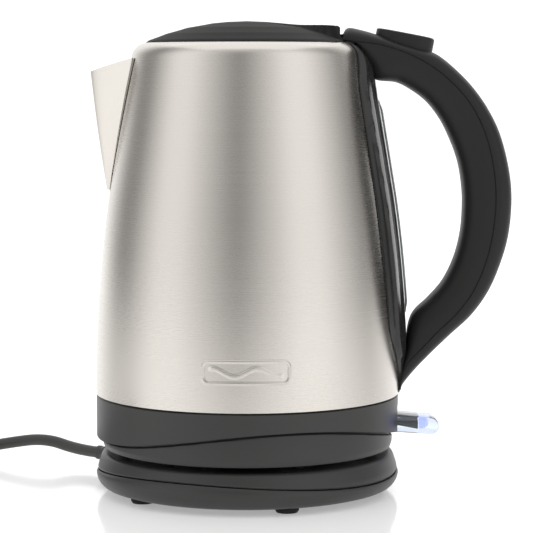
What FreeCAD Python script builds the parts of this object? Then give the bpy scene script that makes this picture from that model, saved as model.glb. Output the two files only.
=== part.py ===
"""Electric kettle on a round power base, as a parametric document of separate pieces.

Millimetres. The origin is the centre of the power base on the table, +Z is up, the handle
is on the +X side and the spout on the -X side. Angles are counted from +X, seen from above.
"""

import FreeCAD
import Part
import Sketcher

import math
import os

from FreeCAD import Placement, Rotation, Vector

OUT = "parts"
UP = Vector(0, 0, 1)
ACROSS = Vector(0, 1, 0)

DIMENSIONS = {
    # power base
    "base_radius": 78.8, "base_top_radius": 75.0, "base_foot_radius": 75.6,
    "base_belt_height": 9.0, "base_top": 20.9, "base_underside": 2.0,
    "hub_radius": 16.5, "hub_top": 33.0, "slot_width": 2.0,
    "feet_circle": 65.0, "foot_radius": 6.0,
    # plastic skirt under the steel body
    "skirt_radius": 78.4, "skirt_inset_radius": 75.3, "skirt_bottom": 24.1, "skirt_top": 51.5,
    "moulding_wall": 2.4, "seam_gap": 0.3,
    # steel body
    "steel_wall": 1.0, "steel_low_radius": 78.7, "steel_low": 51.7,
    "steel_mid_radius": 71.3, "steel_mid": 153.0, "steel_side_arc": 715.0,
    "shoulder_radius": 59.5, "shoulder_height": 224.7, "shoulder_arc": 8.5,
    "mouth_radius": 52.3, "rim_height": 231.9,
    # spout
    "spout_reach": 80.7, "spout_lip": 217.3, "spout_back": 58.0, "spout_back_height": 224.4,
    "spout_half_width": 16.5, "spout_keel": 156.2, "spout_keel_reach": 71.6,
    # handle and hinge
    "handle_width": 28.0, "handle_wall": 2.5, "spine_thickness": 4.6, "spine_angle": 44.0,
    "hinge_reach": 57.0, "hinge_height": 233.0, "nose_radius": 9.0,
    "knuckle_width": 10.0, "knuckle_radius": 6.4,
    "window_width": 11.0, "window_bottom": 93.0, "window_top": 203.0,
    # lid
    "lid_radius": 52.3, "lid_edge": 232.2, "lid_crown": 243.1, "lid_wall": 2.2,
    "lid_plug_radius": 46.5, "collar_radius": 49.6,
    # button, latch and switch
    "button_length": 30.2, "button_width": 20.0, "button_depth": 12.3, "button_tilt": 10.8,
    "button_reach": 81.6, "button_height": 236.9, "button_taper": 12.0, "latch_height": 225.6,
    "lever_pivot_reach": 62.0, "lever_pivot_height": 36.0, "lever_width": 18.0,
    # supply cord
    "cord_diameter": 6.3, "coil_radius": 35.0, "fit_gap": 0.1, "running_gap": 0.4,
}

doc = FreeCAD.newDocument("kettle")
sheet = doc.addObject("Spreadsheet::Sheet", "sizes")
for row, (alias, number) in enumerate(DIMENSIONS.items(), start=1):
    sheet.set(f"A{row}", alias)
    sheet.set(f"B{row}", str(number))
    sheet.setAlias(f"B{row}", alias)
doc.recompute()


class Size:
    """A length that knows the sheet formula it comes from."""

    def __init__(self, number, formula):
        self.number = number
        self.formula = formula

    def _join(self, other, sign, number):
        text = other.formula if isinstance(other, Size) else repr(float(other))
        return Size(number, f"({self.formula} {sign} {text})")

    def __add__(self, other):
        return self._join(other, "+", self.number + float(other))

    def __sub__(self, other):
        return self._join(other, "-", self.number - float(other))

    def __mul__(self, other):
        return self._join(other, "*", self.number * float(other))

    def __neg__(self):
        return self * -1.0

    def __float__(self):
        return self.number

    __radd__ = __add__
    __rmul__ = __mul__


def size(alias):
    return Size(DIMENSIONS[alias], f"sizes.{alias}")


def drive(thing, name, value):
    """Set a property, from the sheet where the value has a formula."""
    if isinstance(value, Size):
        thing.setExpression(name, value.formula)
    elif "." not in name:
        setattr(thing, name, value)
    elif float(value):
        thing.setExpression(name, repr(float(value)))


def shift(thing, x=0, y=0, z=0):
    for axis, value in (("x", x), ("y", y), ("z", z)):
        drive(thing, f"Placement.Base.{axis}", value)
    return thing


# ---- sketches and bodies ------------------------------------------------------------------

def arc_between(start, end, radius):
    """An arc, bulging to the right of the way for a radius above 0, always anticlockwise."""
    chord = end - start
    side = Vector(chord.y, -chord.x, 0).normalize() * math.copysign(1.0, radius)
    half = chord.Length / 2
    rise = abs(radius) - math.sqrt(radius * radius - half * half)
    middle = (start + end) * 0.5 + side * rise
    return Part.Arc(start, middle, end) if radius > 0 else Part.Arc(end, middle, start)


def end_number(edge, place):
    """Which end of a sketch edge lies at a place: 1 for its start, 2 for its end."""
    return 1 if (edge.StartPoint - place).Length < (edge.EndPoint - place).Length else 2


def outline_sketch(body, role, outline):
    """A closed sketch. Each point is (across, up) or (across, up, radius of the arc to it)."""
    sketch = body.newObject("Sketcher::SketchObject", body.Name + "_outline")
    plane = [item for item in body.Origin.OriginFeatures if item.Role == role][0]
    sketch.AttachmentSupport = (plane, [""])
    sketch.MapMode = "FlatFace"
    places = [Vector(float(point[0]), float(point[1]), 0) for point in outline]
    for index, point in enumerate(outline):
        start, end = places[index - 1], places[index]
        curved = len(point) > 2
        edge = arc_between(start, end, point[2]) if curved else Part.LineSegment(start, end)
        sketch.addGeometry(edge, False)
    count = len(outline)
    for index, point in enumerate(outline):
        following = (index + 1) % count
        ends_here = end_number(sketch.Geometry[index], places[index])
        starts_next = end_number(sketch.Geometry[following], places[index])
        sketch.addConstraint(
            Sketcher.Constraint("Coincident", index, ends_here, following, starts_next))
        for kind, value in (("DistanceX", point[0]), ("DistanceY", point[1])):
            added = sketch.addConstraint(
                Sketcher.Constraint(kind, index, ends_here, float(value)))
            if isinstance(value, Size):
                sketch.setExpression(f"Constraints[{added}]", value.formula)
        if len(point) > 2:
            sketch.addConstraint(Sketcher.Constraint("Radius", index, abs(float(point[2]))))
    return sketch


def turned(name, outline, angle=360.0):
    """A body turned about the upright axis from an outline of (radius, height) points."""
    body = doc.addObject("PartDesign::Body", name)
    sketch = outline_sketch(body, "XZ_Plane", outline)
    turn = body.newObject("PartDesign::Revolution", name + "_turn")
    turn.Profile = sketch
    turn.ReferenceAxis = (sketch, ["V_Axis"])
    turn.Midplane = True
    drive(turn, "Angle", angle)
    return body


def padded(name, outline, width, role="XZ_Plane"):
    """A body pressed from an outline, half of its width to each side of the sketch."""
    body = doc.addObject("PartDesign::Body", name)
    sketch = outline_sketch(body, role, outline)
    pad = body.newObject("PartDesign::Pad", name + "_pad")
    pad.Profile = sketch
    pad.Midplane = True
    drive(pad, "Length", width)
    return body


# ---- primitives and booleans ----------------------------------------------------------------

def cylinder(name, radius, height, x=0, y=0, z=0):
    made = doc.addObject("Part::Cylinder", name)
    drive(made, "Radius", radius)
    drive(made, "Height", height)
    return shift(made, x, y, z)


def block(name, corner, lengths):
    made = doc.addObject("Part::Box", name)
    for prop, value in zip(("Length", "Width", "Height"), lengths):
        drive(made, prop, value)
    return shift(made, *corner)


def crossbar(name, radius, half_length, x, z, y=0):
    """A cylinder along Y about the line through (x, z)."""
    made = doc.addObject("Part::Cylinder", name)
    drive(made, "Radius", radius)
    drive(made, "Height", half_length * 2)
    made.Placement = Placement(Vector(), Rotation(Vector(1, 0, 0), -90))
    return shift(made, x, half_length * -1.0 + y, z)


def joined(kind, name, things):
    made = doc.addObject(kind, name)
    setattr(made, "Links" if kind == "Part::Compound" else "Shapes", list(things))
    return made


def fuse(name, *things):
    return joined("Part::MultiFuse", name, things)


def group(name, things):
    return joined("Part::Compound", name, things)


def common(name, *things):
    return joined("Part::MultiCommon", name, things)


def cut(name, base, *tools):
    made = doc.addObject("Part::Cut", name)
    made.Base = base
    made.Tool = tools[0] if len(tools) == 1 else fuse(name + "_tools", *tools)
    return made


def feature(name, shape):
    made = doc.addObject("Part::Feature", name)
    made.Shape = shape
    return made


def ring_of(name, count, circle, first_angle, make):
    """Identical pieces spaced evenly round the axis: one node of separate solids."""
    pieces = []
    for index in range(count):
        angle = math.radians(first_angle + 360 * index / count)
        pieces.append(make(f"{name}_{index + 1}", circle * math.cos(angle), circle * math.sin(angle)))
    return group(name, pieces)


def screw(name, x, y, z, length=8.0, head=3.0, head_height=1.6, shank=1.4):
    """A pan-head screw with its head down, its seat at height z + head_height."""
    bottom = cylinder(name + "_head", head, head_height, x, y, z)
    thread = cylinder(name + "_shank", shank, length, x, y, z + head_height)
    return fuse(name, bottom, thread)


# ---- shapes that neither sketches nor primitives give -------------------------------------------

def wave_height(angle, middle, swing, crest):
    """Height of a wavy seam that rises and falls twice in one turn."""
    return middle + swing * math.cos(2 * (angle - math.radians(crest)))


def below_wave(name, middle, swing, crest, inner, outer, drop=40.0):
    """A ring solid whose top is a wavy surface."""
    edges = []
    for radius in (inner, outer):
        points = []
        for step in range(48):
            angle = 2 * math.pi * step / 48
            height = wave_height(angle, middle, swing, crest)
            points.append(Vector(radius * math.cos(angle), radius * math.sin(angle), height))
        curve = Part.BSplineCurve()
        curve.interpolate(Points=points, PeriodicFlag=True)
        edges.append(curve.toShape())
    return feature(name, Part.makeRuledSurface(*edges).extrude(Vector(0, 0, -drop)))


def smooth(points):
    curve = Part.BSplineCurve()
    curve.interpolate(Points=[Vector(x, 0, z) for x, z in points])
    return curve.toShape()


def moved_in(points, distance):
    """The points of a smooth line, each moved to the right of the way by a distance."""
    moved = []
    for index, (x, z) in enumerate(points):
        before, after = points[max(index - 1, 0)], points[min(index + 1, len(points) - 1)]
        way = Vector(after[0] - before[0], 0, after[1] - before[1]).normalize()
        moved.append((x + way.z * distance, z - way.x * distance))
    return moved


def straight(start, end):
    return Part.makeLine(Vector(start[0], 0, start[1]), Vector(end[0], 0, end[1]))


def slab(wire, half_width):
    """A solid from a closed wire in the XZ plane, the same to both sides of it."""
    face = Part.Face(wire)
    face.translate(Vector(0, -half_width, 0))
    return face.extrude(Vector(0, 2 * half_width, 0))


def solid_of(faces):
    shell = Part.makeShell([Part.Face(Part.makePolygon(list(face) + [face[0]])) for face in faces])
    made = Part.makeSolid(shell)
    made.fix(1e-6, 1e-6, 1e-6)
    if made.Volume < 0:
        made.reverse()
    return made


def cord_path(points):
    """Straight runs joined by tangent arcs, each as large as its two runs allow."""
    points = [Vector(*point) for point in points]
    edges, radii, start = [], [], points[0]
    for before, corner, after in zip(points, points[1:], points[2:]):
        back, ahead = before - corner, after - corner
        shorter = 0.45 * min(back.Length, ahead.Length)
        back.normalize()
        ahead.normalize()
        turn = math.pi - back.getAngle(ahead)
        radius = shorter / math.tan(turn / 2)
        middle = (back + ahead).normalize() * (radius / math.cos(turn / 2) - radius)
        first, last = corner + back * shorter, corner + ahead * shorter
        edges.append(Part.LineSegment(start, first).toShape())
        edges.append(Part.Arc(first, corner + middle, last).toShape())
        radii.append(radius)
        start = last
    edges.append(Part.LineSegment(start, points[-1]).toShape())
    return Part.Wire(edges), radii


def tube(name, points, radius):
    """A round tube along a cord path, with its volume compared with section times length."""
    path, radii = cord_path(points)
    start, ahead = Vector(*points[0]), Vector(*points[1]) - Vector(*points[0])
    ring = Part.Wire(Part.makeCircle(radius, start, ahead))
    made = path.makePipeShell([ring], True, False)
    share = made.Volume / (math.pi * radius ** 2 * path.Length)
    listed = ", ".join(f"{value:.0f}" for value in radii)
    print(f"{name}: length {path.Length:.1f}, volume share {share:.4f}, radii {listed}")
    return feature(name, made)


def spring(name, radius, wire, length, turns, place):
    """A helical spring along its own +Z, placed as a whole."""
    helix = Part.makeHelix(length / turns, length, radius)
    ring = Part.Wire(Part.makeCircle(wire / 2, Vector(radius, 0, 0), Vector(0, 1, 0)))
    made = feature(name, Part.Wire(helix).makePipeShell([ring], True, False))
    made.Placement = place
    return made


# ---- power base -----------------------------------------------------------------------------

WALL = size("moulding_wall")
GAP = size("fit_gap")
BASE_WAVE = {"middle": 12.7, "swing": 2.6, "crest": 243.0}
SKIRT_WAVE = {"middle": 35.4, "swing": 6.0, "crest": 288.0}
CORD_ANGLE = 145.0
CORD_HEIGHT = 9.0


def cord_side(radius, along=0.0, z=CORD_HEIGHT):
    """A point near where the cord leaves the base: out from the axis, then along the rim."""
    angle = math.radians(CORD_ANGLE)
    out, side = Vector(math.cos(angle), math.sin(angle), 0), Vector(-math.sin(angle), math.cos(angle), 0)
    place = out * radius + side * along
    return (place.x, place.y, z)


def power_base():
    radius, belt, top = size("base_radius"), size("base_belt_height"), size("base_top")
    under, top_radius, foot = size("base_underside"), size("base_top_radius"), size("base_foot_radius")
    below = below_wave("base_wave_low", inner=60, outer=90, **BASE_WAVE)
    raised = dict(BASE_WAVE, middle=BASE_WAVE["middle"] + DIMENSIONS["seam_gap"])
    below_raised = below_wave("base_wave_high", inner=60, outer=90, **raised)
    notch = doc.addObject("Part::Cylinder", "cord_notch")
    notch.Radius, notch.Height = 5.3, 30
    notch.Placement = Placement(Vector(*cord_side(60)),
                                Rotation(UP, Vector(*cord_side(1, z=0))))

    ring = turned("base_lower_ring", [
        (radius - WALL, under + WALL), (foot, under), (radius, belt, 11.0),
        (radius - 0.1, top - 4), (radius - WALL - 0.1, top - 4), (radius - WALL, belt)])
    side = common("base_lower_side", ring, below)
    plate = turned("base_plate", [
        (0, under), (foot, under), (radius - WALL, under + WALL), (0, under + WALL)])
    lower_whole = fuse("base_lower_whole", side, plate)
    wells = ring_of("base_screw_wells", 3, size("base_radius") * 0.58, 90,
                    lambda name, x, y: cylinder(name, 3.4, 1.7, x, y, under - 0.05))
    holes = ring_of("base_screw_holes", 3, size("base_radius") * 0.58, 90,
                    lambda name, x, y: cylinder(name, 1.5, 5.0, x, y, under))
    recess = ring_of("base_foot_wells", 5, size("feet_circle"), 216,
                     lambda name, x, y: cylinder(name, size("foot_radius") + 0.1, 1.0, x, y,
                                                 under - 0.05))
    cut("base_lower_shell", lower_whole, wells, holes, recess, notch)

    upper = turned("base_upper_form", [
        (radius - 3.0, belt), (radius - 0.6, belt), (radius - 0.8, top - 6),
        (top_radius, top, 8.0), (size("hub_radius") + 0.2, top),
        (size("hub_radius") + 0.2, top - WALL), (top_radius - 3.5, top - WALL),
        (radius - 3.2, top - 6)])
    cut("base_upper_shell", upper, below_raised, notch)

    slot, hub, hub_top = size("slot_width"), size("hub_radius"), size("hub_top")
    outline = [(4.2, 11), (4.2, hub_top)]
    for inner in (7.4, 11.8):
        outline += [(inner, hub_top), (inner, 17), (slot + inner, 17), (slot + inner, hub_top)]
    ledge = top - WALL - GAP
    outline += [(hub, hub_top), (hub, ledge), (22, ledge), (22, ledge - 3), (hub, ledge - 3), (hub, 11)]
    turned("base_socket", outline)

    tabs = []
    for index, radius_of_tab in enumerate((2.0, 8.4, 12.8)):
        angle = 120.0 * index + 30
        tabs.append(feature(f"contact_{index + 1}", Part.makeBox(0.8, 6, 5, Vector(0, -3, 0))))
        turn = math.radians(angle)
        tabs[-1].Placement = Placement(
            Vector(radius_of_tab * math.cos(turn), radius_of_tab * math.sin(turn), 5.9),
            Rotation(UP, angle))
    group("socket_contacts", tabs)

    ring_of("base_feet", 5, size("feet_circle"), 216,
            lambda name, x, y: cylinder(name, size("foot_radius"), 2.9, x, y, 0))
    ring_of("base_screws", 3, size("base_radius") * 0.58, 90,
            lambda name, x, y: screw(name, x, y, under + 0.1, length=6.0))


def cord_entry():
    """The clamp, the inner end of the cord and the three leads, all inside the base."""
    clamp = doc.addObject("Part::Box", "clamp_bar")
    clamp.Length, clamp.Width, clamp.Height = 6, 22, 11.0
    clamp.Placement = Placement(Vector(*cord_side(56, -11, 4.5)), Rotation(UP, CORD_ANGLE))
    bore = doc.addObject("Part::Cylinder", "clamp_bore")
    bore.Radius, bore.Height = size("cord_diameter").number / 2 + 0.1, 12
    bore.Placement = Placement(Vector(*cord_side(53)), Rotation(UP, Vector(*cord_side(1, z=0))))
    holes = []
    for side in (-7.5, 7.5):
        x, y, _ = cord_side(59, side)
        holes.append(cylinder("clamp_hole", 1.5, 14, x, y, 4.0))
    cut("cord_clamp", clamp, bore, *holes)
    screws = []
    for side in (-7.5, 7.5):
        x, y, _ = cord_side(59, side)
        shank = cylinder("clamp_shank", 1.4, 10.9, x, y, 4.6)
        screws.append(fuse("clamp_screw", shank, cylinder("clamp_head", 2.6, 1.5, x, y, 15.6)))
    group("clamp_screws", screws)

    inner = doc.addObject("Part::Cylinder", "inner_cord")
    inner.Radius, inner.Height = DIMENSIONS["cord_diameter"] / 2, 17.2
    inner.Placement = Placement(Vector(*cord_side(50)), Rotation(UP, Vector(*cord_side(1, z=0))))
    leads = []
    targets = (cord_side(6.0, 0.5, 8.4), cord_side(12.2, 8.2, 8.4), cord_side(16.0, -9.0, 8.4))
    for index, target in enumerate(targets):
        offset = (index - 1) * 2.4
        leads.append(tube(f"lead_{index + 1}", [
            cord_side(49.8, offset, 11.0), cord_side(38, offset * 1.6, 9.6),
            cord_side(26, offset * 2.6 + 2, 8.4), target], 1.0))
    group("base_leads", leads)


RELIEF_START = Vector(*cord_side(68.0))
RELIEF_END = Vector(-82.5, 60.5, 8.4)
ROUTE = [
    (-82.5, 60.5, 8.4), (-95.0, 70.5, 8.1), (-113.5, 77.0, 13.6), (-136.0, 81.5, 10.0),
    (-155.0, 86.0, 5.6), (-172.0, 88.4, 3.6),
]
COIL_CENTRE = Vector(-185.0, 50.0, 0)
TAIL = [(-220.4, 42.0, 9.0), (-222.0, 29.0, 7.2), (-225.5, 14.0, 6.0), (-228.0, 1.0, 6.0)]


def supply_cord():
    radius = DIMENSIONS["cord_diameter"] / 2
    along = RELIEF_END - RELIEF_START
    relief = Part.makeCone(4.6, 3.8, along.Length)
    collar = Part.makeCylinder(5.6, 2.2, Vector(0, 0, 1.5))
    boot = feature("strain_relief", relief.fuse(collar).removeSplitter())
    boot.Placement = Placement(RELIEF_START, Rotation(UP, along))
    tube("power_cord", ROUTE, radius)
    tube("cord_tail", TAIL, radius)

    coil = doc.addObject("Part::Cylinder", "coil_outside")
    drive(coil, "Radius", size("coil_radius") + size("cord_diameter"))
    drive(coil, "Height", size("cord_diameter") * 2)
    hole = doc.addObject("Part::Cylinder", "coil_hole")
    drive(hole, "Radius", size("coil_radius") - size("cord_diameter"))
    drive(hole, "Height", size("cord_diameter") * 2)
    for thing in (coil, hole):
        shift(thing, COIL_CENTRE.x, COIL_CENTRE.y, 0)
    ring = cut("coil_ring", coil, hole)
    tie_band = doc.addObject("Part::Box", "tie_outside")
    tie_band.Length, tie_band.Width, tie_band.Height = 15.2, 6, 14.2
    shift(tie_band, COIL_CENTRE.x + 27.5, COIL_CENTRE.y - 3, 0)
    tie_hole = doc.addObject("Part::Box", "tie_inside")
    tie_hole.Length, tie_hole.Width, tie_hole.Height = 13.2, 8, 12.8
    shift(tie_hole, COIL_CENTRE.x + 28.5, COIL_CENTRE.y - 4, 0.7)
    cut("cord_tie", tie_band, tie_hole)
    slot = doc.addObject("Part::Box", "tie_bed")
    slot.Length, slot.Width, slot.Height = 30, 6.2, 0.8
    shift(slot, COIL_CENTRE.x + 20, COIL_CENTRE.y - 3.1, 0)
    cut("cord_coil", ring, slot)


def plug():
    """A moulded two-pin plug with side earth contacts, lying on the table."""
    start = Vector(*TAIL[-1])
    back = (start - Vector(*TAIL[-2])).normalize()
    place = Placement(start, Rotation(UP, back.cross(UP), back, "ZXY"))
    neck = Part.makeCone(4.6, 6.0, 16, Vector(0, 0, 0))
    grip = Part.makeCone(8.5, 15.5, 12, Vector(0, 0, 16))
    head = Part.makeCylinder(17.5, 14, Vector(0, 0, 28))
    body = neck.fuse([grip, head]).removeSplitter()
    flat = Part.makeBox(30, 60, 80, Vector(-30 - 6.0, -30, -5))
    flat_other = Part.makeBox(30, 60, 80, Vector(14.0, -30, -5))
    body = body.cut(flat).cut(flat_other)
    slots = Part.makeBox(3.0, 6.0, 13.0, Vector(2.5, 13.6, 29.0))
    other = Part.makeBox(3.0, 6.0, 13.0, Vector(2.5, -19.6, 29.0))
    contact = Part.makeBox(2.8, 1.0, 12.9, Vector(2.6, 13.7, 29.0))
    contact_other = Part.makeBox(2.8, 1.0, 12.9, Vector(2.6, -14.7, 29.0))
    body = body.cut(slots).cut(other)
    pins = []
    for side in (-9.5, 9.5):
        stem = Part.makeCylinder(2.4, 16.6, Vector(4.0, side, 42.1))
        tip = Part.makeCone(2.4, 1.4, 2.4, Vector(4.0, side, 58.7))
        pins.append(stem.fuse(tip).removeSplitter())
    for name, shape in (("plug_body", body), ("plug_pins", Part.makeCompound(pins)),
                        ("plug_earth_contacts", Part.makeCompound([contact, contact_other]))):
        feature(name, shape).Placement = place


# ---- coupling between base and kettle -------------------------------------------------------

def connector():
    """The round coupling that slips over the hub of the base; the kettle turns on it."""
    hub, top = size("hub_radius"), size("hub_top")
    turned("connector_housing", [
        (hub + 0.6, 24.8), (hub + 2.6, 24.8), (hub + 2.6, top + 3.6), (0, top + 3.6),
        (0, top + 0.8), (hub + 0.6, top + 0.8)])
    cylinder("connector_pin", 2.6, 12.6, z=top + 0.7 - 12.6)
    rings = []
    for index, inner in enumerate((8.0, 12.4)):
        low, high = 21.5, 12.2
        outside = cylinder(f"ring_outside_{index}", inner + 0.8, high, z=low)
        inside = cylinder(f"ring_inside_{index}", inner, high, z=low)
        rings.append(cut(f"contact_ring_{index}", outside, inside))
    group("contact_rings", rings)


# ---- steel body and what is inside it ---------------------------------------------------------

def jug_side(offset):
    """The outer line of the steel body, moved in or out: points from bottom to rim."""
    arc = DIMENSIONS["steel_side_arc"] + offset
    return [
        (size("steel_low_radius") + offset, size("steel_low")),
        (size("steel_mid_radius") + offset, size("steel_mid"), arc),
        (size("shoulder_radius") + offset, size("shoulder_height")),
        (size("mouth_radius") + 0.2, size("rim_height") + min(offset * 0.7, 0.3),
         DIMENSIONS["shoulder_arc"] + offset)]


def steel_parts():
    wall = DIMENSIONS["steel_wall"]
    outside = jug_side(0.0)
    inside = jug_side(-wall)[::-1]
    low_in = inside[3][:2]
    walls = outside + [
        (size("mouth_radius") - 0.8, size("rim_height")),
        (size("mouth_radius") - 0.8, size("rim_height") - wall),
        (inside[0][0], inside[0][1]),
        (inside[1][0], inside[1][1], -(DIMENSIONS["shoulder_arc"] - wall)),
        (inside[2][0], inside[2][1]),
        (low_in[0], low_in[1], -(DIMENSIONS["steel_side_arc"] - wall))]
    walls[0] = walls[0][:2]
    form = turned("steel_form", walls)
    slot = block("window_slot", (60, -7, 91.5), (30, 14, 113))
    mouth = feature("spout_opening", spout_wedge(-3.0, 158.0, 10.5).common(
        Part.makeBox(60, 40, 55, Vector(-90, -20, 164))))
    ports = block("steam_port", (50, -3, 214.0), (25, 6, 5))
    cut("steel_body", form, slot, mouth, ports)

    whole = feature("spout_form", spout_wedge(0.0, DIMENSIONS["spout_keel"],
                                              DIMENSIONS["spout_half_width"]))
    hollow = feature("spout_hollow", spout_wedge(-1.0, DIMENSIONS["spout_keel"] + 6,
                                                 DIMENSIONS["spout_half_width"] - 1.2, lift=1.2))
    core = turned("jug_core", [(0, 51.7)] + jug_side(0.1) + [(0, size("rim_height") + 1)])
    cut("spout", whole, hollow, core)

    turned("rim_collar", [
        (size("collar_radius"), 222.5), (size("collar_radius") + 1.7, 222.5),
        (size("collar_radius") + 1.7, 230.6), (size("collar_radius"), 230.6)])
    frame = block("filter_outer", (-57.0, -16, 172), (3.0, 32, 48))
    window = block("filter_opening", (-58, -13, 175), (6, 26, 42))
    cut("filter_frame", frame, window)
    block("filter_mesh", (-55.8, -12.9, 175.1), (0.6, 25.8, 41.8))


def spout_wedge(reach, keel, half_width, lift=0.0):
    """The V-shaped trough: a lip, two upper corners and a keel point, closed behind."""
    lip = Vector(-(DIMENSIONS["spout_reach"] + reach), 0, DIMENSIONS["spout_lip"] + lift)
    back = DIMENSIONS["spout_back"] - 12
    high = DIMENSIONS["spout_back_height"] + lift
    left, right = Vector(-57.5, -half_width, high), Vector(-57.5, half_width, high)
    far_left, far_right = Vector(-back, -half_width, high), Vector(-back, half_width, high)
    toe = Vector(-(DIMENSIONS["spout_keel_reach"] + reach * 0.4), 0, keel)
    heel = Vector(-back, 0, keel)
    return solid_of([
        (lip, left, right), (left, far_left, far_right, right),
        (lip, toe, left), (lip, right, toe),
        (left, toe, heel), (left, heel, far_left),
        (right, heel, toe), (right, far_right, heel),
        (far_left, heel, far_right)])


def heater():
    turned("heating_plate", [(0, 53.0), (size("steel_low_radius") - 1.3, 53.0),
                             (size("steel_low_radius") - 1.3, 55.0), (0, 55.0)])
    loop = doc.addObject("Part::Torus", "element_loop")
    loop.Radius1, loop.Radius2, loop.Angle3 = 42, 3.6, 300
    loop.Placement = Placement(Vector(0, 0, 49.3), Rotation(UP, 30))
    ends = []
    for index, angle in enumerate((30, -30)):
        turn = math.radians(angle)
        ends.append(cylinder(f"cold_tail_{index}", 2.2, 6.5, 42 * math.cos(turn),
                             42 * math.sin(turn), 43))
    fuse("heating_element", loop, *ends)
    hub, top = size("hub_radius"), size("hub_top")
    turned("control_housing", [
        (0, top + 4.2), (hub + 3.8, top + 4.2), (hub + 3.8, 27.0), (hub + 9.0, 27.0),
        (hub + 9.0, 48.0), (0, 48.0)])
    cylinder("bimetal_disc", 9.0, 0.7, z=48.1)


# ---- plastic skirt and bottom -------------------------------------------------------------------

def skirt():
    outer, inset, low, top = (size(name) for name in (
        "skirt_radius", "skirt_inset_radius", "skirt_bottom", "skirt_top"))
    inside = inset - WALL
    proud = turned("skirt_proud", [(inside, 27.5), (outer - 0.4, 27.5), (outer, 40.0),
                                   (outer, top), (inside, top)])
    below = below_wave("skirt_wave", inner=60, outer=90, **SKIRT_WAVE)
    upper = cut("skirt_upper", proud, below)
    lower = turned("skirt_lower", [(inside, low), (inset - 0.4, low), (inset, low + 3.0),
                                   (inset, top - 4), (inside, top - 4)])
    whole = fuse("skirt_whole", upper, lower)
    slot = block("lever_slot", (65, -9.7, 28.9), (20, 19.4, 16.6))
    cut("base_skirt", whole, slot)
    disc = turned("bottom_disc", [(size("hub_radius") + 3.4, low + 0.4), (inside - 0.2, low + 0.4),
                                  (inside - 0.2, low + 2.8), (size("hub_radius") + 3.4, low + 2.8)])
    seats = ring_of("bottom_screw_wells", 3, size("skirt_radius") * 0.66, 60,
                    lambda name, x, y: cylinder(name, 1.6, 6, x, y, low))
    cut("kettle_bottom_cover", disc, seats)
    ring_of("kettle_feet", 6, size("skirt_radius") * 0.82, 233.5,
            lambda name, x, y: cylinder(name, 3.0, 3.2, x, y, low - 2.9))
    ring_of("bottom_screws", 3, size("skirt_radius") * 0.66, 60,
            lambda name, x, y: screw(name, x, y, low - 1.3, length=9.0))


# ---- handle -------------------------------------------------------------------------------------

HANDLE_BACK = [
    (52.7, 239.6), (62.0, 237.5), (78.6, 231.9), (97.5, 225.8), (116.4, 208.8), (129.6, 187.0),
    (136.5, 153.1), (135.1, 134.5), (129.0, 112.5), (117.8, 93.6), (96.9, 73.6), (84.6, 60.2),
    (78.2, 50.4)]
FINGER_GAP = [
    (60.0, 213.4), (76.7, 211.9), (92.5, 202.0), (105.2, 181.1), (111.2, 150.0), (107.4, 122.0),
    (95.5, 102.5), (82.0, 91.2), (70.0, 86.6)]
HANDLE_SEAM = [
    (44.0, 232.9), (58.0, 232.3), (78.6, 227.8), (99.3, 216.5), (116.2, 197.5), (126.4, 165.0),
    (126.3, 138.1), (119.4, 111.0), (101.0, 86.4), (84.7, 70.2), (70.0, 54.0)]


def handle_wires():
    nose = Part.Arc(Vector(48, 0, 233), Vector(49.0, 0, 237.0), Vector(52.7, 0, 239.6)).toShape()
    outer = Part.Wire([nose, smooth(HANDLE_BACK), straight(HANDLE_BACK[-1], (60.0, 50.4)),
                       straight((60.0, 50.4), (48.0, 233.0))])
    gap = Part.Wire([smooth(FINGER_GAP), straight(FINGER_GAP[-1], FINGER_GAP[0])])
    outward = (160.0, 54.0), (160.0, 250.0), (44.0, 250.0)
    seam = Part.Wire([smooth(HANDLE_SEAM), straight(HANDLE_SEAM[-1], outward[0]),
                      straight(outward[0], outward[1]), straight(outward[1], outward[2]),
                      straight(outward[2], HANDLE_SEAM[0])])
    return outer, gap, seam


def spine_line(offset):
    """Outer line of the rear of the body at a distance from the steel, up over the shoulder."""
    points = jug_side(offset)
    points[0] = (points[0][0], 52.0)
    return points


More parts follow.
